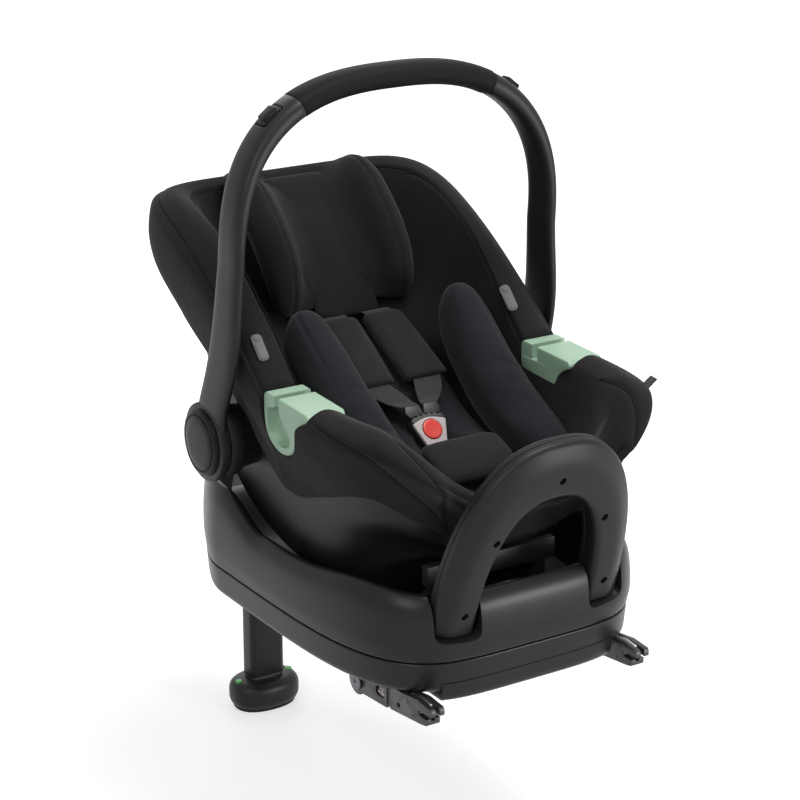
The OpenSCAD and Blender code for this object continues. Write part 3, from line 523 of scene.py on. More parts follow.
def plastic(name, colour, roughness, grain=0.12, specular=0.5, scale=1500, vary=0.06):
    """Moulded plastic: fine spark-eroded grain, slight flow and handling variation."""
    mat, tree, shader, at = new_material(name, colour, roughness, specular=specular)
    fine, broad = noise(tree, at, scale, 2), noise(tree, at, 9, 4)
    tree.links.new(
        tint(tree, broad, shade(colour, 1 - vary), shade(colour, 1 + vary)),
        shader.inputs["Base Color"],
    )
    rough = maths(tree, "ADD", spread(tree, broad, roughness - 0.035, roughness + 0.035),
                  maths(tree, "MULTIPLY", maths(tree, "SUBTRACT", fine, 0.5), 0.08))
    tree.links.new(rough, shader.inputs["Roughness"])
    bump(tree, shader, fine, grain, 0.0003)
    return mat


def metal(name, colour, roughness, brushed=0.1):
    mat, tree, shader, at = new_material(name, colour, roughness, metallic=1.0)
    stretch = add_node(tree, "ShaderNodeMapping", [(at, "Vector")])
    stretch.inputs["Scale"].default_value = (0.06, 1, 1)
    streak, stain = noise(tree, stretch.outputs[0], 900, 3), noise(tree, at, 40, 4)
    tree.links.new(
        tint(tree, stain, shade(colour, 0.86), shade(colour, 1.06)), shader.inputs["Base Color"]
    )
    tree.links.new(spread(tree, streak, roughness - 0.06, roughness + 0.1), shader.inputs["Roughness"])
    bump(tree, shader, streak, brushed, 0.0002)
    return mat


def ribbed(name, colour, pitch):
    """Woven webbing: ribs across the strap and a fine twill between them."""
    mat, tree, shader, at = new_material(name, colour, 0.7, sheen=0.15, specular=0.35)
    ribs = waves(tree, at, BANDS / pitch, "X", 0.1)
    y, z = (waves(tree, at, BANDS / 1.1, axis, 0.2) for axis in "YZ")
    twill = maths(tree, "ADD", y, z)
    height = maths(tree, "ADD", maths(tree, "MULTIPLY", ribs, 2.0), twill)
    tree.links.new(
        tint(tree, maths(tree, "MULTIPLY", height, 0.25), shade(colour, 0.7), shade(colour, 1.3)),
        shader.inputs["Base Color"],
    )
    tree.links.new(spread(tree, noise(tree, at, 500), 0.62, 0.78), shader.inputs["Roughness"])
    bump(tree, shader, height, 0.5, 0.0005)
    return mat


M = {
    "tub": plastic("tub_plastic", (0.0085, 0.0090, 0.0099), 0.34, 0.08, 0.2),
    "bar": plastic("bar_plastic", (0.0078, 0.0076, 0.0082), 0.44, 0.12, 0.2),
    "shell": plastic("shell_plastic", (0.0090, 0.0094, 0.0100), 0.50, 0.10, 0.19),
    # a rougher, slightly darker copy of the tub plastic: the darkening is painted shade for the inside of the tub
    "well": plastic("tub_inside_painted_shade", (0.0085, 0.0085, 0.0088), 0.6, 0.2, 0.3),
    "trim": plastic("trim_plastic", (0.011, 0.011, 0.012), 0.5, 0.15),
    "light_trim": plastic("cradle_plastic", (0.020, 0.021, 0.022), 0.5, 0.12),
    "handle": plastic("handle_plastic", (0.0105, 0.0103, 0.0113), 0.42, 0.14, 0.19),
    "grip": plastic("grip_rubber", (0.0055, 0.0055, 0.0058), 0.66, 0.5, 0.10, 700),
    "cap": plastic("cap_plastic", (0.0055, 0.0055, 0.0060), 0.36, 0.08, 0.1),
    "isofix": plastic("isofix_plastic", (0.0125, 0.0125, 0.0135), 0.38, 0.1),
    "light": plastic("buckle_grey", (0.37, 0.335, 0.33), 0.36, 0.05),
    "red": plastic("button_red", (0.55, 0.030, 0.022), 0.32, 0.04),
    "guide": plastic("guide_mint", (0.262, 0.392, 0.285), 0.44, 0.08, vary=0.03),
    "indicator": plastic("indicator_green", (0.03, 0.34, 0.05), 0.35, 0.03),
    "rubber": plastic("rubber_black", (0.008, 0.008, 0.008), 0.85, 0.5, 0.3, 900),
    "leg": plastic("leg_coating", (0.0080, 0.0078, 0.0088), 0.42, 0.2, 0.25),
    "leg_inner": metal("leg_inner_metal", (0.30, 0.30, 0.31), 0.4),
    "foam": plastic("foam_beads", (0.5, 0.5, 0.5), 0.9, 0.8, 0.2, 260),
    "steel": metal("bare_steel", (0.55, 0.55, 0.56), 0.32),
    "dark_steel": metal("dark_steel", (0.14, 0.14, 0.15), 0.42),
    "screw": metal("screw_steel", (0.05, 0.05, 0.055), 0.4),
    "cover": fabric("cover_fabric", (0.0078, 0.0070, 0.0074), 1.0, 0.16, 0.06, 0.22, 0.35),
    "lining": fabric("lining_fabric", (0.0060, 0.0058, 0.0062), 1.0, 0.16, 0.05),
    "insert": fabric("insert_fabric", (0.0088, 0.0098, 0.0118), 0.9, 0.14, 0.07),
    "pad": fabric("pad_fabric", (0.0125, 0.0123, 0.0125), 1.2, 0.3, 0.08),
    "thread": fabric("seam_thread", (0.0035, 0.0033, 0.0035), 0.8, 0.2, 0.02),
    "webbing": ribbed("webbing", (0.0058, 0.0058, 0.0062), 3.0),
    "tag": plastic("tag_rubber", (0.062, 0.062, 0.063), 0.6, 0.2),
}

# ---- base: the same outlines as the CAD, on many more points --------------------------

BASE_T = ring_angles(192)
BASE_BACK = [390, 510]


def base_rise(y):
    return ease((y - BASE_BACK[0]) / (BASE_BACK[1] - BASE_BACK[0]))


def base_low(y):
    return 12 + 48 * base_rise(y)


def base_split(y):
    return 50 + 40 * base_rise(y)


def base_rim(y):
    return 118 + 32 * ease((y - 270) / 100) + 13 * np.exp(-(((y - 62) / 78) ** 2))


def base_xy(inset, t=BASE_T):
    x, y = plan(t, 200 - inset, -8 + inset, 390, 670 - inset, 4.5, 2.6)
    return x * (1 - 0.52 * ease((y - 370) / 250)), y


def base_ring(inset, share, extra=0.0):
    x, y = base_xy(inset)
    y0 = base_xy(0)[1]
    return np.stack([x, y, lerp(base_split(y0), base_rim(y0), share) + extra], 1)


def base_low_ring(inset, extra):
    x, y = base_xy(inset)
    return np.stack([x, y, base_low(base_xy(0)[1]) + extra], 1)


def box_piece(x, y, z):
    v = [(a, b, c) for a in x for b in y for c in z]
    f = [(0, 1, 3, 2), (4, 6, 7, 5), (0, 4, 5, 1), (2, 3, 7, 6), (0, 2, 6, 4), (1, 5, 7, 3)]
    return mesh_piece("cutter", v, f, M["trim"])


def lathe(name, profile, to_part, mat, steps=64, sharp=35):
    """A turned piece: profile is (radius, height) along the third axis of to_part."""
    a = np.arange(steps) * 2 * np.pi / steps
    rings = [np.stack([r * np.cos(a), r * np.sin(a), np.full(steps, h)], 1) for r, h in profile]
    obj = loft(name, rings, mat, sharp=sharp)
    obj.data.transform(to_part)
    tidy(obj, True, sharp)
    return obj


lower = loft(
    "base_lower_case",
    [base_low_ring(*q) for q in ((17, 0), (12.6, 0.2), (9.6, 1.2), (7.4, 3.2), (5.8, 6.4), (5, 10))]
    + [base_ring(*q) for q in ((3.2, 0, -3.4), (3.0, 0, -2.2), (3.5, 0, -1.2), (4.8, 0, -0.7))],
    M["tub"], sharp=60, caps="strip",
)
LEG_BAY, HINGE_BAY = ((-29, 29), (300, 646), (-40, 98)), ((-54, 54), (232, 345), (-40, 98))
boolean(lower, [box_piece(*LEG_BAY), box_piece(*HINGE_BAY)])


def heel_ring(inset, z):
    """The deep front part between the connectors, cut off at each side and at the rear."""
    x, y = base_xy(inset, np.linspace(-175, -5, 400))
    across = np.linspace(-118 + inset * 0.4, 118 - inset * 0.4, 97)
    front = np.interp(across, x, y)
    ring = [(a, b, z) for a, b in zip(across, front)]
    return np.array([(across[0], 74, z), *ring, (across[-1], 74, z)])


HEEL = ((14, 1), (10.5, 1.4), (7.6, 3), (5.8, 6), (4.9, 11), (4.5, 17), (4.2, 24))
heel = loft("heel", [heel_ring(*q) for q in HEEL], M["tub"], sharp=50)
place(join("base_lower_case", [lower, heel]), "base", "shell_plastic", "base_lower_shell")

UPPER = [(4.8, 0, 0.2), (3.6, 0, 0.6), (2.9, 0, 1.7), (2.2, 0.06, 0), (0, 0.27, 0), (0.9, 0.6, 0),
         (4.6, 0.84, 0), (12.5, 1, 0), (20.5, 0.975, 0), (28, 0.8, 0), (38, 0.35, 0), (45, 0.03, 6)]
upper = loft(
    "base_upper_case",
    [base_ring(*q) for q in [*UPPER[:3], *spline(UPPER[3:], 6)]],
    M["tub"], sharp=60, caps="strip",
)
BAR_LEAN = 16.6
BAR_AT = np.array([0, 2.4, 78.0])
BAR_DEEP = np.array([0, cosd(BAR_LEAN), sind(BAR_LEAN)])
BAR_UP = np.array([0, -sind(BAR_LEAN), cosd(BAR_LEAN)])


def bar_axes(x=0.0, up=0.0):
    return axes(BAR_AT + np.array([x, 0, 0]) + BAR_UP * up, (1, 0, 0), BAR_UP, BAR_DEEP)


notch = fillet([(-27.4, -3), (27.4, -3), (27.4, 90), (-27.4, 90)], [12, 12, 0, 0], 6)
boolean(upper, [cutter_plate(notch, -30, 33, M["tub"], bar_axes(s * 100)) for s in (-1, 1)])
soften(upper, 1.6, 3, 50)
# the faces that look into the tub, below its rim, and its floor have a rougher finish and a slightly darker colour;
# the darker colour is painted shade for the tub's inside
upper.data.materials.append(M["well"])
TUB_MIDDLE, MARGIN = Vector((0, 0.3, 0)), 0.012
for p in upper.data.polygons:
    x, y, z = p.center
    inward = (TUB_MIDDLE - Vector((x, y, 0))).normalized()
    # mask of the inward faces that get the painted shade
    shaded_wall = p.normal.dot(inward) > 0.35 and z < base_rim(y / MM) * MM - MARGIN
    if shaded_wall or (p.normal.z > 0.7 and z < base_split(y / MM) * MM + MARGIN):
        p.material_index = 1
place(upper, "base", "shell_plastic", "base_upper_shell")

# ---- rebound bar -----------------------------------------------------------------------


def bar_sweep(name, profile, mat, steps=112):
    rings = []
    for t in np.linspace(0, 180, steps + 1):
        ix, iz = arch(t, 75, 160, 2.5)
        ox, oz = arch(t, 125, 227, 2.5)
        r, d = profile[:, :1] / 50, profile[:, 1:]
        x, z = lerp(ix, ox, r), lerp(iz, oz, r)
        rings.append(BAR_AT + x * np.array([1.0, 0, 0]) + z * BAR_UP + d * BAR_DEEP)
    return loft(name, rings, mat, sharp=45)


SPLIT = 21.9
face_line = [(50, SPLIT - 0.5), (0, SPLIT - 0.5), (0, 6), (4.6, 0), (32, 0), (50, 12)]
front = bar_sweep("rebound_bar_face", fillet(face_line, [0.8, 0.8, 4, 4, 9, 7], 5), M["bar"])
SCREWS = [(0, 186), (72, 120), (-72, 120), (94, 26), (-94, 26)]
HOLE = [(5.4, -1.4), (4.2, 0.7), (4.2, 9)]
boolean(front, [lathe("cutter", HOLE, bar_axes(x, z), M["bar"], 32) for x, z in SCREWS], sharp=45)
place(front, "base", "shell_plastic", "rebound_bar_front")
back_line = [(50, SPLIT + 0.1), (0, SPLIT + 0.1), (0, 30), (50, 30)]
rear = bar_sweep("rebound_bar_back", fillet(back_line, [0.8, 0.8, 5, 6], 5), M["bar"])
place(rear, "base", "shell_plastic", "rebound_bar_rear")
screws = from_cad("rebound_bar_fixings", "rebound_bar_screws", M["screw"], 0.35)
place(screws, "base", "screw_steel", "rebound_bar_screws")

# ---- dock, underside, connectors and leg ---------------------------------------------

# A row that ends in _ is made for the left and for the right
for name, node, mat, body, slot, width in (
    ("dock_frame", "dock_cradle", "light_trim", "base", "trim_plastic", 1.4),
    ("dock_rods", "dock_bars", "steel", "base", "bare_steel", 0.6),
    ("underside_feet", "underside_pads", "rubber", "base", "rubber", 0.8),
    ("fold_brackets", "isofix_brackets", "dark_steel", "base", "dark_steel", 0.7),
    ("leg_hinge_pin", "leg_pin", "steel", "base", "bare_steel", 0.6),
    ("anchor_arm_", "isofix_arm_", "isofix", "isofix_", "isofix_plastic", 1.2),
    ("anchor_housing_", "isofix_housing_", "isofix", "isofix_", "isofix_plastic", 0.9),
    ("anchor_hook_", "isofix_hook_", "steel", "isofix_hook_", "bare_steel", 0.4),
    ("anchor_slider_", "isofix_release_", "light", "isofix_release_", "light_plastic", 0.4),
    ("leg_sleeve", "leg_outer_tube", "leg", "leg_upper", "leg_metal", 0.8),
    ("leg_lock_button", "leg_button", "trim", "leg_lock", "trim_plastic", 0.8),
    ("leg_slider", "leg_inner_tube", "leg_inner", "leg_lower", "leg_inner", 0.4),
    ("foot_lights", "foot_indicators", "indicator", "leg_lower", "indicator", 0.6),
    ("axle_pins", "hub_axles", "steel", "carrier", "bare_steel", 0.6),
    ("latch_claws", "latch_pawls", "steel", "carrier_latch", "dark_steel", 0.6),
    ("release_handle", "release_lever", "trim", "release_lever", "trim_plastic", 1.4),
    ("belt_tongues", "harness_tongues", "trim", "carrier", "trim_plastic", 0.9),
):
    for tag in ("left", "right") if name.endswith("_") else ("",):
        place(from_cad(name + tag, node + tag, M[mat], width), body + tag, slot, node + tag)

LEG_Y, FLOOR = 623, -287


def foot_ring(shrink, z, n=96):
    return section([0, LEG_Y, z], [1, 0, 0], [0, 1, 0], 98 - 2 * shrink, 72 - 2 * shrink, n, 2.3)


TOP = FLOOR + 43
FOOT = [(4, FLOOR + 6), (2.4, FLOOR + 8.5), (0.4, FLOOR + 14), (0, FLOOR + 22), (0.4, TOP - 13),
        (3, TOP - 7), (9, TOP - 2.6), (17, TOP - 0.8), (26, TOP)]
SOLE = ((9, FLOOR), (6, FLOOR + 1), (5, FLOOR + 3.4), (5, FLOOR + 6))
foot = loft("foot_case", [foot_ring(*q) for q in spline(FOOT, 4)], M["leg"], sharp=60)
upright = [axes((x, LEG_Y, TOP), (1, 0, 0), (0, 1, 0), (0, 0, 1)) for x in (-38, 38)]
lights = [lathe("cutter", [(5.6, -8), (5.6, 12)], at, M["leg"], 32) for at in upright]
boolean(foot, lights, sharp=50)
place(foot, "leg_lower", "shell_plastic", "foot_shell")
sole = loft("foot_pad", [foot_ring(*q) for q in SOLE], M["rubber"], sharp=60)
place(sole, "leg_lower", "rubber", "foot_sole")

# ---- soft shapes -------------------------------------------------------------------------


def puff(obj, pressure=4.0, voxel=5.0, cap=7.0, frames=20, rounds=1):
    """Swells a closed mesh as stuffing does: remesh, cloth under pressure, a capped move, a
    subdivision. The result is plain mesh."""
    m = obj.modifiers.new("remesh", "REMESH")
    m.mode, m.voxel_size = "VOXEL", voxel * MM
    apply_modifiers(obj)
    start = np.array([q.co for q in obj.data.vertices])
    cloth = obj.modifiers.new("cloth", "CLOTH")
    c = cloth.settings
    c.use_pressure, c.uniform_pressure_force = True, pressure
    c.quality, c.mass = 5, 0.3
    c.tension_stiffness = c.compression_stiffness = 15
    c.shear_stiffness, c.bending_stiffness = 8, 0.6
    c.effector_weights.gravity = 0
    cloth.collision_settings.use_self_collision = False
    scene = bpy.context.scene
    cloth.point_cache.frame_start, cloth.point_cache.frame_end = 1, frames
    for f in range(1, frames + 1):
        scene.frame_set(f)
    done = obj.evaluated_get(bpy.context.evaluated_depsgraph_get()).to_mesh()
    moved = np.array([q.co for q in done.vertices])
    obj.modifiers.clear()
    scene.frame_set(1)
    step = moved - start
    length = np.linalg.norm(step, axis=1)[:, None] + 1e-9
    start = start + step * np.minimum(1, cap * MM / length)
    for q, p in zip(obj.data.vertices, start):
        q.co = p
    m = obj.modifiers.new("even", "SMOOTH")
    m.factor, m.iterations = 0.5, 3
    m = obj.modifiers.new("fine", "SUBSURF")
    m.levels = m.render_levels = rounds
    apply_modifiers(obj)
    for p in obj.data.polygons:
        p.use_smooth = True
    return obj


def carve(obj, lines, depth, width):
    """Presses sewn lines into a soft piece: each vertex near a line moves in along its normal."""
    obj.data.update()
    pts = points_of(obj)
    normals = np.array([q.normal for q in obj.data.vertices])
    near = np.full(len(pts), 1e9)
    for line in lines:
        line = np.asarray(line, float)
        for a, b in zip(line[:-1], line[1:]):
            ab = b - a
            u = np.clip(((pts - a) @ ab) / (ab @ ab + 1e-9), 0, 1)
            near = np.minimum(near, np.linalg.norm(pts - a - u[:, None] * ab, axis=1))
    move = depth * np.exp(-((near / width) ** 2))
    pts -= normals * move[:, None]
    set_points(obj, pts)
    obj.data.update()


def fit_inside(obj, gap=1.0):
    """Moves a piece's points back into the seat's hollow."""
    set_points(obj, keep_inside(points_of(obj), gap))
    obj.data.update()


# ---- carrier shell -----------------------------------------------------------------------

SEAT_T = ring_angles(360)
LEVELS = np.array([
    [0.00, 104, 150, 345], [0.06, 131, 138, 386], [0.30, 164, 116, 474], [0.45, 170, 90, 494],
    [0.60, 174, 34, 499], [0.85, 192, 12, 582], [1.00, 197, -11, 568]])
HOLLOW = np.array([[0.0, 98, 52, 520], [0.2, 120, 48, 528], [0.6, 142, 32, 534], [1.0, 157, 12, 536]])
HEM = np.array([[0, 0.66], [20, 0.68], [33, 0.69], [44, 0.73], [63, 0.63], [82, 0.55], [100, 0.57],
                [125, 0.66], [180, 0.76]])
MIDDLE, BOTTOM = 240, 60
BIGHT_Y, FLOOR_LEVEL, BACK = 250, 192, 40.4
SLOPE = math.tan(math.radians(BACK))
BIGHT_BEND = 60  # how softly the seat turns up into the backrest
RIM_SIDE, RIM_RISE, HEAD_END = 300, 163, 568
RIM_TOP = RIM_SIDE + RIM_RISE


def foot_push(x, y, share):
    return x, y + 30 * share * np.maximum(0, 1 - (x / 125) ** 2) * ease((90 - y) / 60)


def level(share, column):
    return pchip(LEVELS[:, 0], LEVELS[:, column], share)


def carrier_xy(t, share, out):
    x, y = plan(t, level(share, 1) + out, level(share, 2) - out, MIDDLE, level(share, 3) + out,
                4.5, 5 + 2 * ease((share - 0.4) / 0.5))
    return foot_push(x, y, share)


def from_front(t):
    """Degrees from the middle of the front edge, to either side."""
    return np.minimum(np.abs(t + 90), np.abs(t - 270))


def rim_behind(y):
    """Height of the rim from the middle of the seat to the head end."""
    return RIM_SIDE + RIM_RISE * sind(90 * np.clip((y - MIDDLE) / (HEAD_END - MIDDLE), 0, 1))


def rim_z(t):
    y = carrier_xy(t, 1, 0)[1]
    return np.where(y > MIDDLE, rim_behind(y), 212 + 88 * ease((from_front(t) - 8) / 36))


def shell_row(share, out, up=0.0, t=SEAT_T):
    x, y = carrier_xy(t, share, out)
    return np.stack([x, y, lerp(BOTTOM, rim_z(t), share) + up], 1)


def hem_share(t):
    return pchip(HEM[:, 0], HEM[:, 1], from_front(t))


def hem_row(out, above, t=SEAT_T):
    return shell_row(lerp(hem_share(t), 1, above), out, 0, t)


def seat_z(y):
    ahead = y - BIGHT_Y
    return FLOOR_LEVEL + SLOPE * (ahead + np.sqrt(ahead**2 + BIGHT_BEND**2)) / 2


def hollow_row(share, out, up=0.0, t=SEAT_T):
    a, f, r = (pchip(HOLLOW[:, 0], HOLLOW[:, k], share) for k in (1, 2, 3))
    x, y = plan(t, a + out, f - out, MIDDLE, r + out, 4, 4.5 + 3 * share)
    x, y = foot_push(x, y, share)
    low, high = seat_z(y), rim_z(t) + 2
    return np.stack([x, y, low + (high - low) * share**1.4 + up], 1)


def keep_inside(points, gap=1.0):
    """Points moved back into the seat's hollow, in millimetres."""
    p = np.array(points, float)
    floor = seat_z(p[:, 1]) + gap
    p[:, 2] = np.maximum(p[:, 2], floor)
    rim = np.where(p[:, 1] > MIDDLE, rim_behind(p[:, 1]), 290)
    share = np.clip((p[:, 2] - floor) / (rim - floor + 1e-6), 0, 1) ** (1 / 1.4)
    a, f, r = (pchip(HOLLOW[:, 0], HOLLOW[:, k], share) for k in (1, 2, 3))
    rear = p[:, 1] > MIDDLE
    n = np.where(rear, 4.5 + 3 * share, 4)
    reach = np.where(rear, r - MIDDLE, MIDDLE - f)
    side = np.clip(np.abs(p[:, 1] - MIDDLE) / reach, 0, 0.995)
    limit = a * (1 - side**n) ** (1 / n) - gap
    p[:, 0] = np.clip(p[:, 0], -limit, limit)
    return p


levels = np.concatenate([[0, 0.012, 0.03], np.linspace(0.06, 1, 44)])
outer = [shell_row(s, 0 if s > 0.05 else -6 * (1 - s / 0.05) ** 2) for s in levels]
inner = [shell_row(s, -4, 0 if s > 0.05 else 4) for s in levels[::-1][:-2]]
outer[-1] = shell_row(1, -0.6, -4)
outer[-2] = shell_row(0.975, 0, -2)
inner[0] = shell_row(1, -3.4, -4)
shell = loft("carrier_bucket", outer + inner, M["shell"], sharp=60, caps="strip")
# a moulded groove down each side, ahead of the label's bare place
v = points_of(shell)
near = np.exp(-(((v[:, 1] - (238 + (v[:, 2] - 170) * 0.16)) / 1.5) ** 2)) * ease((v[:, 2] - 95) / 30)
v[:, 0] -= np.sign(v[:, 0]) * 1.4 * near * (np.abs(v[:, 0]) > 120)
set_points(shell, v)

HUB = (0, 337, 226)
BOSS = [(34, 150), (38, 190), (42.5, 196), (44.5, 200), (45, 204), (45, 212), (43.6, 215.4), (40, 216.6)]
for side, tag in SIDES:
    turn = facing(side, HUB)
    boss = lathe(f"hub_boss_{tag}", BOSS, turn, M["shell"])
    place(boss, "carrier", "shell_plastic")

for side, tag in SIDES:
    lug = fillet([(372, 112), (388, 80), (396, 75), (404, 80), (420, 134), (400, 134)], 3, 3)
    lug = curve_plate(f"latch_lug_{tag}", [lug], 45, 52, 0.8, M["shell"], facing(1))
    if side < 0:  # its name gets a number, as the unmirrored lug still holds the plain one
        lug, old = mirrored(lug, f"latch_lug_{tag}"), lug
        bpy.data.objects.remove(old)
    place(lug, "carrier", "shell_plastic")
REAR_LOW, REAR_HIGH = (np.array([0, level(s, 3), lerp(BOTTOM, RIM_TOP, s)]) for s in (0.6, 0.85))
REAR_UP = (REAR_HIGH - REAR_LOW) / np.linalg.norm(REAR_HIGH - REAR_LOW)
REAR_IN = np.array([0, -REAR_UP[2], REAR_UP[1]])
for side, tag in SIDES:
    to_part = axes((REAR_LOW + REAR_HIGH) / 2, (side, 0, 0), REAR_IN, REAR_UP)
    rail = fillet([(55.4, 3), (61, 3), (61, -12), (50, -12), (50, -9), (55.4, -9)], 0.8, 3)
    rail = curve_plate(f"lever_rail_{tag}", [rail], -32, 25, 0.6, M["shell"], to_part)
    place(rail, "carrier", "shell_plastic")

# ---- fitted cover: a padded band over the rim, sewn from panels ----------------------------


def cover_rows(t):
    """The cover's section from its inner hem, out over the rim and down into the seat."""
    crown = (shell_row(1, 0, 9, t) + hollow_row(1, 7, 8, t)) / 2
    crown[:, 2] += 3.5
    return [
        hem_row(1.2, 0.0, t), hem_row(3.6, -0.012, t), hem_row(6.2, 0.01, t), hem_row(7.0, 0.3, t),
        hem_row(8.0, 0.62, t), shell_row(0.985, 7.6, -3, t), shell_row(1, 2, 5.5, t), crown,
        hollow_row(1, 5.5, 5.5, t), hollow_row(0.985, 0.6, 0, t), hollow_row(0.88, 0.2, 0, t),
        hollow_row(0.78, 0.2, 0, t)]


def cover_point(t, s):
    """A point of the cover: t is its angle round the seat, s counts rows from the hem."""
    rows = cover_rows(np.asarray(t, float))
    rows = [2 * rows[0] - rows[1], *rows, 2 * rows[-1] - rows[-2]]
    s = np.clip(np.asarray(s, float), 0, len(rows) - 3.0001)
    k, u = s.astype(int), (s - s.astype(int))[:, None]
    a, b, c, d = (np.array([rows[j + m][i] for i, j in enumerate(k)]) for m in range(4))
    return catmull(a, b, c, d, u)


# Sewn seams on the left side as (angle round the seat, row) paths; the right side mirrors them
SEAMS = [
    [(100, 6.1), (112, 6.15), (123, 6.2), (139, 6.1), (151, 6.05), (165, 6.0), (180, 5.9), (192, 5.7)],
    [(207, 5.9), (214, 5.5), (223, 5.1), (229, 4.4), (234, 3.8), (241, 3.2), (245, 2.6), (247, 2.1)],
    [(226, 8.4), (233, 7.1), (240, 6.1), (242.5, 5.4), (244, 4.4), (245.5, 3.2), (247, 2.1)],
    [(92, 9.0), (120, 8.6), (138, 8.5), (148, 8.9), (158, 9.2), (172, 9.4), (190, 9.3), (204, 9.0)],
]
LIP = [(t, 5.95 + 0.1 * math.sin(math.radians((t - 241) * 3))) for t in range(241, 300, 6)]


def seam_path(seam, mirror=False, sink=0.0):
    ts, ss = np.array(spline([np.array(q, float) for q in seam], 10)).T
    if mirror:
        ts = (180 - ts + 90) % 360 - 90
    p = cover_point(ts, ss)
    if sink:
        along_t, along_s = cover_point(ts + 0.3, ss) - p, cover_point(ts, ss + 0.05) - p
        n = np.cross(along_t, along_s)
        n /= np.linalg.norm(n, axis=1)[:, None]
        middle = p - np.array([0, 250, 150])
        n *= np.sign((n * middle).sum(1))[:, None]
        p = p - n * sink
    return p


COVER_T = ring_angles(640)
rows = spline(cover_rows(COVER_T), 7)
back = [*[hollow_row(*q, COVER_T) for q in ((0.78, 4, -0.5), (0.96, 7, -2.5))],
        *[shell_row(*q, COVER_T) for q in ((1, -5, -3), (1, -2, -1.5), (1, 1, -3))],
        *[hem_row(*q, COVER_T) for q in ((1.2, 0.6), (1.2, 0.3))]]
cover = loft("cover_cloth", rows + back, M["cover"], closed=True, sharp=75)
GUIDE_LOW = [(146, 303), (148, 299), (160, 294), (170, 286), (174, 270), (180, 257), (190, 249),
             (204, 246), (222, 249), (236, 258), (243, 270), (245, 285)]
pocket = np.array([*GUIDE_LOW, (246, 420), (145, 420)], float)
outline = fillet(pocket, [3, 3, 8, 8, 8, 8, 8, 8, 8, 8, 6, 3, 0, 0], 4)
for cut_piece, inner_x, slot_mat, hard in ((cover, 140, "cover", 75), (shell, 184, "shell", 60)):
    cutters = [cutter_plate(outline, inner_x, 232, M[slot_mat], facing(side)) for side in (-1, 1)]
    boolean(cut_piece, cutters, sharp=hard)
place(shell, "carrier", "shell_plastic", "carrier_shell")


def clear_of_guides(path):
    """The runs of a seam path that stay outside the belt guides' pockets."""
    runs, run = [], []
    for p in path:
        inside = False
        for a, b in zip(pocket, np.roll(pocket, -1, 0)):
            if (a[1] > p[2]) != (b[1] > p[2]):
                if p[1] < a[0] + (p[2] - a[1]) / (b[1] - a[1]) * (b[0] - a[0]):
                    inside = not inside
        if inside and abs(p[0]) > 140:
            runs, run = [*runs, run], []
        else:
            run.append(p)
    return [np.array(r) for r in [*runs, run] if len(r) > 3]


lines = [seam_path(s, m) for s in SEAMS for m in (False, True)] + [seam_path(LIP)]
carve(cover, lines, 2.5, 2.7)
cords = [tube("piping", run, 0.9, M["thread"], 6) for s in SEAMS for m in (False, True)
         for run in clear_of_guides(seam_path(s, m, 2.1))]
cords.append(tube("piping", seam_path(LIP, sink=2.1), 0.9, M["thread"], 6))
hem_t = np.linspace(-90, 270, 481)[:-1]
hem_edge = np.concatenate([hem_row(5.4, 0.012, np.array([t])) for t in hem_t])
cords.append(tube("piping", hem_edge, 1.3, M["cover"], 8, closed=True))
place(join("cover_piping", cords), "carrier", "cover_fabric")
place(cover, "carrier", "cover_fabric", "seat_cover", fill=0.35)

lining_rows = [hollow_row(s, 0.3, 0.3 if s < 0.05 else 0) for s in
               (0, 0.03, 0.08, 0.15, 0.25, 0.35, 0.45, 0.55, 0.65, 0.72, 0.8)]
lining_back = [hollow_row(s, 5, -6) for s in (0.8, 0.6, 0.3, 0.15, 0)]
lining_rings = [hollow_row(0, 5, -9)] + lining_back[::-1] + lining_rows[::-1]
lining = loft("seat_lining", lining_rings, M["lining"], sharp=75, caps="strip")
place(lining, "carrier", "cover_fabric", "seat_pad", fill=0.3)

for side, tag in SIDES:
    to_part = facing(side)
    body_line = fillet([*GUIDE_LOW, (245, 306), (240, 311), (150, 308)],
                       [3, 3, 9, 9, 9, 9, 9, 9, 9, 9, 9, 8, 5, 4, 3], 5)
    guide = curve_plate(f"guide_{tag}", [body_line], 152, 200, 2.0, M["guide"], to_part, 50, 4)
    cup_line = fillet([(222, 297), (236, 293), (238, 276), (231, 263), (216, 255), (198, 255),
                       (188, 261), (186, 269), (207, 289), (211, 297)], [1, 4, 7, 7, 7, 6, 5, 4, 3, 1], 5)
    slot_line = [(211, 292), (222, 292), (222, 330), (211, 330)]
    cup = cutter_plate(cup_line, 187, 215, M["guide"], to_part)
    slot = cutter_plate(slot_line, 140, 215, M["guide"], to_part)
    boolean(guide, [cup, slot], sharp=40)
    soften(guide, 1.3, 3, 40)
    place(guide, "carrier", "guide_plastic", f"belt_guide_{tag}")

# ---- handle --------------------------------------------------------------------------------

# Height of the handle and of its bend above the hub, and how far out the bend and the arm stand
HANDLE, BEND, BEND_X, ARM_X = 412, 215, 212, 223.5
GRIP_START = 54  # degrees round the bend


def handle_y(s):
    return 337 - 44 * s / HANDLE - 22 * sind(180 * s / HANDLE)


def arm_at(s):
    return np.array([lerp(ARM_X, BEND_X, max(0, s - 50) / (BEND - 50)), handle_y(s), 226 + s])


def bend_at(t):
    x, z = arch(t, BEND_X, HANDLE - BEND, 2.62)
    return np.array([float(x), handle_y(BEND + z), 226 + BEND + float(z)])


def bend_out(t):
    d = bend_at(t + 0.5) - bend_at(t - 0.5)
    n = np.array([d[2], 0, -d[0]])
    return n / np.linalg.norm(n)


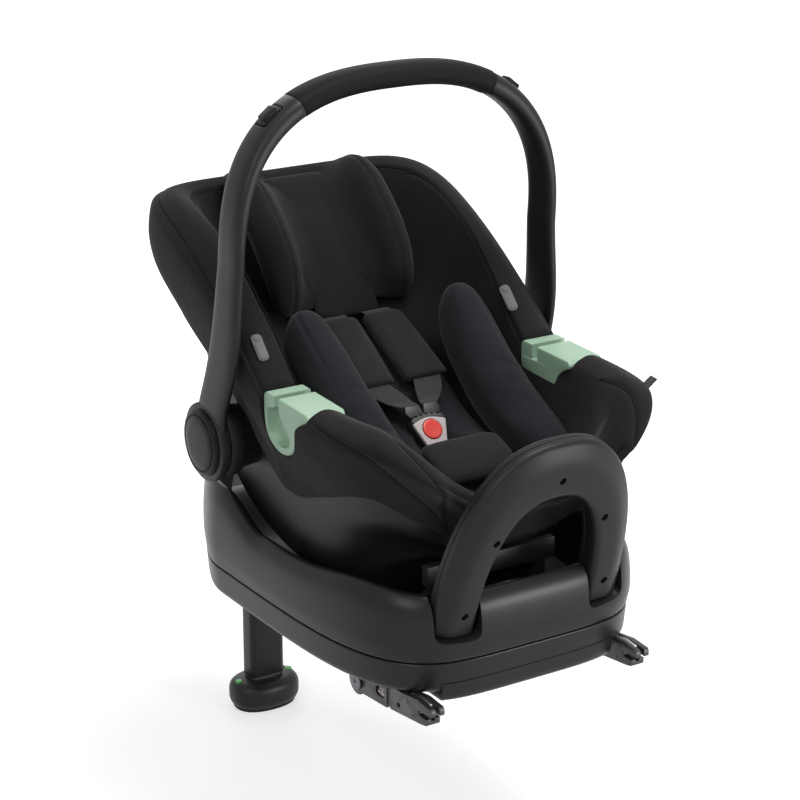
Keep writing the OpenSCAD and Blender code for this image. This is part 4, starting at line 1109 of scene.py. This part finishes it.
rings = []
for s in [*np.linspace(6, 60, 12), *np.linspace(70, BEND, 14)]:
    flare = 14 * ease((46 - s) / 40)
    at = arm_at(s) - np.array([0, 7 * sind(180 * s / BEND) ** 2, 0])
    broad = lerp(60, 50, s / BEND) + 4 * sind(180 * s / BEND) ** 2 + flare
    rings.append(section(at, X, Y, lerp(13, 15, max(0, s - 50) / (BEND - 50)), broad, 48, 3.0))
for t in np.linspace(2, GRIP_START, 30):
    k = t / GRIP_START
    thick, broad, square = lerp(15, 27, ease(k)), lerp(50, 44, k), lerp(3.0, 2.6, k)
    rings.append(section(bend_at(t), bend_out(t), Y, thick, broad, 48, square))
arm = loft("arm", rings, M["handle"], sharp=60)
DISC = [(38, 217), (45.4, 217.2), (46.8, 218.6), (47, 221), (47, 226.5), (46.4, 229), (44.6, 230), (30, 230)]
disc = lathe("disc", DISC, facing(1, HUB), M["handle"], 96)
out46 = bend_out(46)
corner = axes(bend_at(46), (out46[2], 0, -out46[0]), (0, 1, 0), out46)
notch = fillet([(-16, -12), (16, -12), (16, 12), (-16, 12)], 4, 5)
boolean(arm, [cutter_plate(notch, -4, 24, M["handle"], corner)], sharp=50)
soften(arm, 0.9, 2, 50)
right_arm = join("handle_arm_right_piece", [arm, disc])
place_pair(right_arm, "handle_arm_left_piece", "handle", "handle_plastic", "handle_arm")

rings = []
for t in [54.08, 54.14, 54.5, *np.linspace(55.2, 124.8, 60), 125.5, 125.86, 125.92]:
    end = min(t - 54.08, 125.92 - t)
    k = 1 - 0.05 * max(0, 1 - end / 0.42) ** 2
    rings.append(section(bend_at(t), bend_out(t), Y, 29 * k, 45 * k, 56, 2.4))
grip = loft("hand_grip", rings, M["grip"], sharp=60)
place(grip, "handle", "grip", "handle_grip")

CAP = [(38, 230), (40, 230.2), (40, 233), (39.2, 234.3), (37.6, 235), (34.8, 235.6), (34, 234.8),
       (33.4, 234.4), (32.6, 234.8), (32, 236), (31, 236.5), (22, 237), (10, 237.3), (2, 237.4)]
cap = lathe("hub_disc_right", CAP, facing(1, HUB), M["cap"], 128)
place(mirrored(cap, "hub_disc_left"), "handle", "handle_plastic", "hub_cap_left")
place(cap, "handle", "handle_plastic", "hub_cap_right")
for tag in ("left", "right"):
    place(from_cad(f"thumb_button_{tag}", f"handle_button_{tag}", M["cap"], 1.3, 35, 3),
          f"handle_button_{tag}", "handle_plastic", f"handle_button_{tag}")

# ---- soft pieces in the seat ------------------------------------------------------------------


def on_back(x, u, v):
    """The point x across, u up the backrest and v out of it."""
    c, s = cosd(BACK), sind(BACK)
    return np.array([x, BIGHT_Y + u * c - v * s, FLOOR_LEVEL + u * s + v * c])


INTO_BACK = np.array([0, sind(BACK), -cosd(BACK)])
UP_BACK = np.array([0, cosd(BACK), sind(BACK)])


def floor_section(y, up, w, h, n, p=3.2):
    ahead = y - BIGHT_Y
    a = np.degrees(np.arctan(SLOPE / 2 * (1 + ahead / np.sqrt(ahead**2 + BIGHT_BEND**2))))
    e2 = np.array([0, sind(a), -cosd(a)])
    return section(np.array([0, y, seat_z(y)]) - e2 * (up + h / 2), [1, 0, 0], e2, w, h, n, p)


CUSHION = [[96, 110, 7], [102, 134, 16], [125, 150, 20], [160, 160, 20], [200, 164, 20], [240, 166, 20],
           [275, 166, 20], [310, 164, 20], [350, 158, 18], [372, 150, 14], [380, 128, 7]]
cushion = rings_between(CUSHION, 40, lambda r: floor_section(r[0], 1, r[1], r[2], 40))
cushion = loft("insert_seat", cushion, M["insert"])
puff(cushion, 2.0, 5, 3)
fit_inside(cushion, 0.6)
place(cushion, "carrier", "insert_fabric", "insert_cushion", fill=0.4)

BOLSTER = [[88, 74, 206, 30, 30], [97, 110, 222, 50, 58], [101, 165, 238, 58, 74], [102, 222, 266, 60, 82],
           [104, 272, 302, 58, 82], [106, 304, 328, 52, 76], [107, 322, 344, 42, 62], [107, 331, 352, 26, 40]]


def bolster_ring(r):
    return section(r[:3], [1, 0, 0], [0, 0.45, -0.9], r[3] * 0.95, r[4] * 0.95, 44, 3.1)


bolster = loft("insert_side_right", rings_between(BOLSTER, 48, bolster_ring), M["insert"])
fit_inside(bolster, 2)
puff(bolster, 4.0, 4.5, 5)
fit_inside(bolster, 0.8)


def along_rings(rows, count, make, share):
    """A sewn line along a loft: the point at one share of each ring's way round."""
    out = []
    for ring in rings_between(rows, count, make):
        out.append(ring[int(share * len(ring)) % len(ring)])
    return np.array(out)


# ring_angles start at -90: share 0 is the upper side, 0.25 the outer side
seam = along_rings(BOLSTER, 60, bolster_ring, 0.09)[3:-2]
carve(bolster, [seam], 2.4, 2.6)
place_pair(bolster, "insert_side_left", "carrier", "insert_fabric", "insert_bolster", 0.7)

HEAD_U = 206


def head_back(u):
    return 4 + 24 * ease((u + 62 - HEAD_U) / 180)


HEAD = [[-16, 84, 3], [-8, 92, 6], [40, 98, 10], [100, 100, 11], [160, 100, 11], [184, 90, 8], [190, 78, 5]]


def head_ring(r):
    u = HEAD_U + r[0]
    return section(on_back(0, u, head_back(u) + r[2] / 2), [1, 0, 0], INTO_BACK, r[1], r[2], 48, 3.4)


head = loft("head_pad", rings_between(HEAD, 50, head_ring), M["cover"])
puff(head, 2.0, 5, 2.5)
place(head, "headrest", "cover_fabric", "headrest_pad", fill=0.6)
# Wing section (across, out of the backrest), before it is scaled to a station
WING_FORM = [(8, 0.05), (20, 0.15), (38, 0.24), (56, 0.46), (70, 0.82), (82, 1.0), (96, 0.93), (107, 0.68),
             (110, 0.34), (104, 0.06), (84, 0.0), (40, 0.0)]
# Distance up, share of the section's width, reach from the backrest
WING = [[-2, 0.30, 20], [4, 0.62, 34], [16, 0.84, 50], [46, 0.97, 68], [92, 1.0, 78], [136, 1.0, 80],
        [168, 0.92, 74], [188, 0.76, 60], [199, 0.56, 44], [203, 0.38, 32]]


def wing_ring(r):
    u = HEAD_U + r[0]
    v0 = head_back(u)
    v1 = max(v0 + 8, r[2])
    form = [(84 + (x - 84) * r[1] - 7, v0 + v * (v1 - v0)) for x, v in WING_FORM]
    return np.array([on_back(x, u, v) for x, v in closed_spline(form, 5)])


wing = loft("head_wing_right", rings_between(WING, 56, wing_ring), M["cover"])
puff(wing, 3.0, 4.5, 4)
crest = along_rings(WING, 60, wing_ring, 0.43)[2:-2]
carve(wing, [crest], 2.4, 2.6)
place_pair(wing, "head_wing_left", "headrest", "cover_fabric", "headrest_wing", 0.75)

PAD_U = 72
SHOULDER = [[0, 58, 17], [3, 61, 21], [56, 60, 23], [102, 57, 20], [110, 50, 10]]


def shoulder_ring(r):
    at = on_back(lerp(37, 31, r[0] / 110), PAD_U + r[0], lerp(48, 28, r[0] / 110))
    return section(at, X, INTO_BACK, r[1] * 0.96, r[2] * 0.9, 36, 3.0)


shoulder = loft("shoulder_sleeve_right", rings_between(SHOULDER, 36, shoulder_ring), M["pad"])
puff(shoulder, 2.5, 3.2, 2)
place_pair(shoulder, "shoulder_sleeve_left", "carrier", "cover_fabric", "shoulder_pad", 0.5)

POCKET = [[97, 212.5, .35, -.94, 88, 6], [101, 216, .38, -.92, 102, 14], [124, 227, .35, -.94, 108, 21],
          [148, 236, .3, -.95, 106, 20], [156, 238.5, .25, -.97, 98, 10]]


def pocket_ring(r):
    return section([0, *r[:2]], X, [0, *r[2:4]], r[4] * 0.97, r[5] * 0.95, 36, 3.4)


pouch = loft("crotch_pocket", rings_between(POCKET, 32, pocket_ring), M["pad"])
puff(pouch, 2.0, 3.2, 2)
carve(pouch, [[(x, 150, 247 - 0.0008 * x * x) for x in range(-46, 47, 4)]], 1.6, 2.2)
place(pouch, "carrier", "cover_fabric", "crotch_pad", fill=0.5)

# ---- harness, buckle and small parts -------------------------------------------------------------

BUCKLE_U, BUCKLE_V, TILT = -7, 56, 10.6
BUCKLE_UP = UP_BACK * cosd(TILT) - INTO_BACK * sind(TILT)
BUCKLE_OUT = -INTO_BACK * cosd(TILT) - UP_BACK * sind(TILT)
BUCKLE_AT = on_back(0, BUCKLE_U, BUCKLE_V)
BUCKLE = axes(BUCKLE_AT, X, BUCKLE_UP, BUCKLE_OUT)
BUTTON = axes(BUCKLE_AT + BUCKLE_UP * 4, X, BUCKLE_UP, BUCKLE_OUT)
# the cushion gives way under the buckle
pts = points_of(cushion)
across, up, out = pts[:, 0], (pts - BUCKLE_AT) @ BUCKLE_UP, (pts - BUCKLE_AT) @ BUCKLE_OUT
sunk = np.maximum(0, out + 6 - 0.8 * np.maximum(0, np.hypot(across, up) - 19))
sunk[out < -30] = 0
set_points(cushion, pts - sunk[:, None] * BUCKLE_OUT)


def strap(name, stations, thick=1.6):
    """A flat band through (x, u, v, width) stations up the backrest."""
    pts = np.array(spline([np.array(s, float) for s in stations], 8))
    rings = [section(on_back(*p[:3]), X, INTO_BACK, p[3], thick, 24, 8) for p in pts]
    return loft(name, rings, M["webbing"], sharp=50)


bands = []
for side in (-1, 1):
    start = (13.5 * side, BUCKLE_U + 38.4 * cosd(TILT), BUCKLE_V + 38.4 * sind(TILT), 22)
    low = strap("band", [start, (20 * side, 40, 58, 30), (27 * side, 52, 55, 36), (37 * side, 74, 48.5, 38)])
    high = strap("band", [(31 * side, 180, 28, 38), (31 * side, 190, 22, 38), (31 * side, 198, 8, 38)])
    bands += [low, high]
crotch = fillet([(-15, -34.2), (15, -34.2), (15, -22.3), (-15, -22.3)], 0.6, 2)
crotch = curve_plate("band", [crotch], -1.8, -0.2, 0.3, M["webbing"], BUCKLE)
place(join("harness_webbing", [*bands, crotch]), "carrier", "webbing", "harness_straps")

BODY = [(-23, 14), (-21, 22), (0, 25), (21, 22), (23, 14), (13, -18), (10, -22), (-10, -22), (-13, -18)]
body = curve_plate("body", [fillet(BODY, [5, 4, 12, 4, 5, 4, 3, 3, 4], 5)], -10, 5.2, 1.8, M["trim"], BUCKLE, 50, 4)
COVER = [(-21, 13.5), (0, 20), (21, 13.5), (10.5, -21), (-10.5, -21)]
fan = fillet([(a * 1.08, b * 1.06) for a, b in COVER], [3, 14, 3, 3, 3], 6)
fan = curve_plate("fan", [fan], 2.0, 8, 1.3, M["light"], BUCKLE, 50, 4)
flap = fillet([(-24, -20), (30, -20), (34, 8), (22, 27), (-2, 31), (-24, 24)], [4, 4, 16, 18, 18, 12], 6)
flap = curve_plate("crotch_flap", [flap], -17, -10.6, 2.4, M["pad"], BUCKLE, 80, 4)
pts = points_of(flap)
lift = np.clip((pts[:, 0] - 8) / 26, 0, 1) ** 2 * 9
set_points(flap, pts + lift[:, None] * BUCKLE_OUT)
place(flap, "carrier", "cover_fabric", fill=0.3)
fan_well = lathe("cutter", [(12.7, 0), (12.7, 7.4), (13.7, 8.6)], BUTTON, M["light"], 48)
body_well = lathe("cutter", [(12.7, -4), (12.7, 9)], BUTTON, M["light"], 48)
boolean(fan, [fan_well], sharp=45)
boolean(body, [body_well], sharp=45)
teeth = [(-22 + 44 * k / 12, (25.5 if k % 2 else 22.5) - 4.5 * (k / 6 - 1) ** 2) for k in range(13)]
comb = curve_plate("comb", [[*teeth, (20, 13), (-20, 13)]], 3.4, 7.0, 0.5, M["trim"], BUCKLE, 50, 2)
place(join("buckle_case", [body, fan, comb]), "carrier", "light_plastic", "buckle_body")
PRESS = [(12, 6.6), (12.2, 6.9), (12.2, 8.2), (11.8, 8.9), (10.8, 9.3), (8.6, 9.0), (3, 8.8), (0.6, 8.75)]
button = lathe("release_button", PRESS, BUTTON, M["red"], 64)
place(button, "buckle_release", "button_red", "buckle_button")
key = from_cad("adjuster_key", "adjuster_button", M["trim"], 1.5, 35, 4)
place(key, "adjuster", "trim_plastic", "adjuster_button")
tail = from_cad("adjuster_tail", "adjuster_strap", M["webbing"], 0.5)
place(tail, "carrier", "webbing", "adjuster_strap")


def tag_on_cover(name, top, foot):
    """A soft rubber label that lies on the cover between two of its points."""
    a, b = (cover_point([q[0]], [q[1]])[0] for q in (top, foot))
    across = cover_point([(top[0] + foot[0]) / 2], [(top[1] + foot[1]) / 2 + 0.25])[0]
    middle = cover_point([(top[0] + foot[0]) / 2], [(top[1] + foot[1]) / 2])[0]
    v = (a - b) / np.linalg.norm(a - b)
    u = across - middle
    u -= v * (u @ v)
    u /= np.linalg.norm(u)
    w = np.cross(u, v)
    w *= np.sign(w[2])
    shape = fillet([(-6.5, -18), (6.5, -18), (6.5, 18), (-6.5, 18)], 6.4, 7)
    rim_line = fillet([(-4.9, -16.4), (4.9, -16.4), (4.9, 7), (-4.9, 7)], 4.8, 7)
    ring_line = fillet([(-3.6, 8.6), (3.6, 8.6), (3.6, 15.8), (-3.6, 15.8)], 3.5, 7)
    at = axes(middle, u, v, w)
    layers = (shape, -0.8, 2.2, 0.7), (rim_line, 1.5, 2.9, 0.4), (ring_line, 1.5, 3.1, 0.4)
    return join(name, [curve_plate("plate", [q], *size, M["tag"], at) for q, *size in layers])


left_tag = tag_on_cover("tag", (163.5, 6.9), (171, 6.8))
right_tag = tag_on_cover("tag", (19.5, 8.05), (12, 8.15))
place(join("side_labels", [left_tag, right_tag]), "carrier", "tag", "side_tags")
place(from_cad("tab_loop", "pull_tab", M["webbing"], 0.5), "carrier", "cover_fabric", "pull_tab")
place(from_cad("foam_dish", "foam_liner", M["foam"], 0), "carrier", "foam", "foam_liner")

# ---- stage: pale floor, soft lamps, the photograph's camera ---------------------------------


def seen_directly(tree):
    """1 for the rays that show the background: camera, glossy and transmission rays."""
    path = tree.nodes.new("ShaderNodeLightPath").outputs
    mirrored_ray = maths(tree, "MAXIMUM", path["Is Glossy Ray"], path["Is Transmission Ray"])
    return maths(tree, "MAXIMUM", path["Is Camera Ray"], mirrored_ray)


def stage_material():
    mat = bpy.data.materials.new("floor_white")
    mat.use_nodes = True
    tree = mat.node_tree
    tree.nodes.clear()
    out = tree.nodes.new("ShaderNodeOutputMaterial")
    diffuse = add_node(tree, "ShaderNodeBsdfDiffuse", Color=(0.6, 0.6, 0.6, 1))
    glow = tree.nodes.new("ShaderNodeEmission")
    seen = seen_directly(tree)
    place_at = tree.nodes.new("ShaderNodeNewGeometry").outputs["Position"]
    length = add_node(tree, "ShaderNodeVectorMath", [(place_at, 0)], operation="LENGTH")
    far = tree.nodes.new("ShaderNodeMapRange")
    tree.links.new(length.outputs["Value"], far.inputs["Value"])
    far.inputs["From Min"].default_value, far.inputs["From Max"].default_value = 0.7, 1.8
    far.inputs["To Min"].default_value, far.inputs["To Max"].default_value = 0.56, 1.0
    tree.links.new(maths(tree, "MULTIPLY", seen, far.outputs["Result"]), glow.inputs["Strength"])
    both = add_node(tree, "ShaderNodeAddShader")
    tree.links.new(diffuse.outputs[0], both.inputs[0])
    tree.links.new(glow.outputs[0], both.inputs[1])
    tree.links.new(both.outputs[0], out.inputs["Surface"])
    return mat


REACH = 6000
corners = [(x * REACH, y * REACH, FLOOR) for x, y in ((-1, -1), (1, -1), (1, 1), (-1, 1))]
floor = mesh_piece("floor", corners, [(0, 1, 2, 3)], stage_material(), smooth=False)

world = bpy.data.worlds.new("studio")
bpy.context.scene.world = world
world.use_nodes = True
tree = world.node_tree
tree.nodes.clear()
out = tree.nodes.new("ShaderNodeOutputWorld")
back = add_node(tree, "ShaderNodeBackground", Color=(1, 1, 1, 1))
tree.links.new(spread(tree, seen_directly(tree), 0.42, 1.0), back.inputs["Strength"])
tree.links.new(back.outputs[0], out.inputs["Surface"])


def lamp(name, at, target, size, power):
    light = bpy.data.lights.new(name, "AREA")
    light.shape, light.size, light.size_y = "RECTANGLE", *size
    light.energy = power
    obj = link(bpy.data.objects.new(name, light))
    obj.location = at
    obj.rotation_euler = (Vector(target) - Vector(at)).to_track_quat("-Z", "Y").to_euler()


lamp("key", (-1.9, -1.1, 1.8), (0, 0.3, 0.2), (1.1, 1.1), 20)
lamp("fill", (1.2, -1.95, 0.3), (0, 0.2, 0.15), (0.8, 0.6), 32)
lamp("top", (0.35, -0.3, 2.4), (0, 0.25, 0.15), (1.1, 1.1), 46)
lamp("rim", (0.9, 2.6, 1.6), (0, 0.3, 0.4), (1.6, 1.2), 14)

# the camera that the photograph was taken with, as solved from it
camera = bpy.data.cameras.new("camera")
camera.lens, camera.sensor_width = 105.35, 36
camera.clip_end = 50
holder = link(bpy.data.objects.new("camera", camera))
holder.location = (-1.3969, -1.9278, 1.1581)
holder.rotation_euler = (Vector((0, 0.275, 0.253)) - holder.location).to_track_quat("-Z", "Y").to_euler()
bpy.context.scene.camera = holder
bpy.context.scene.view_settings.view_transform = "Standard"
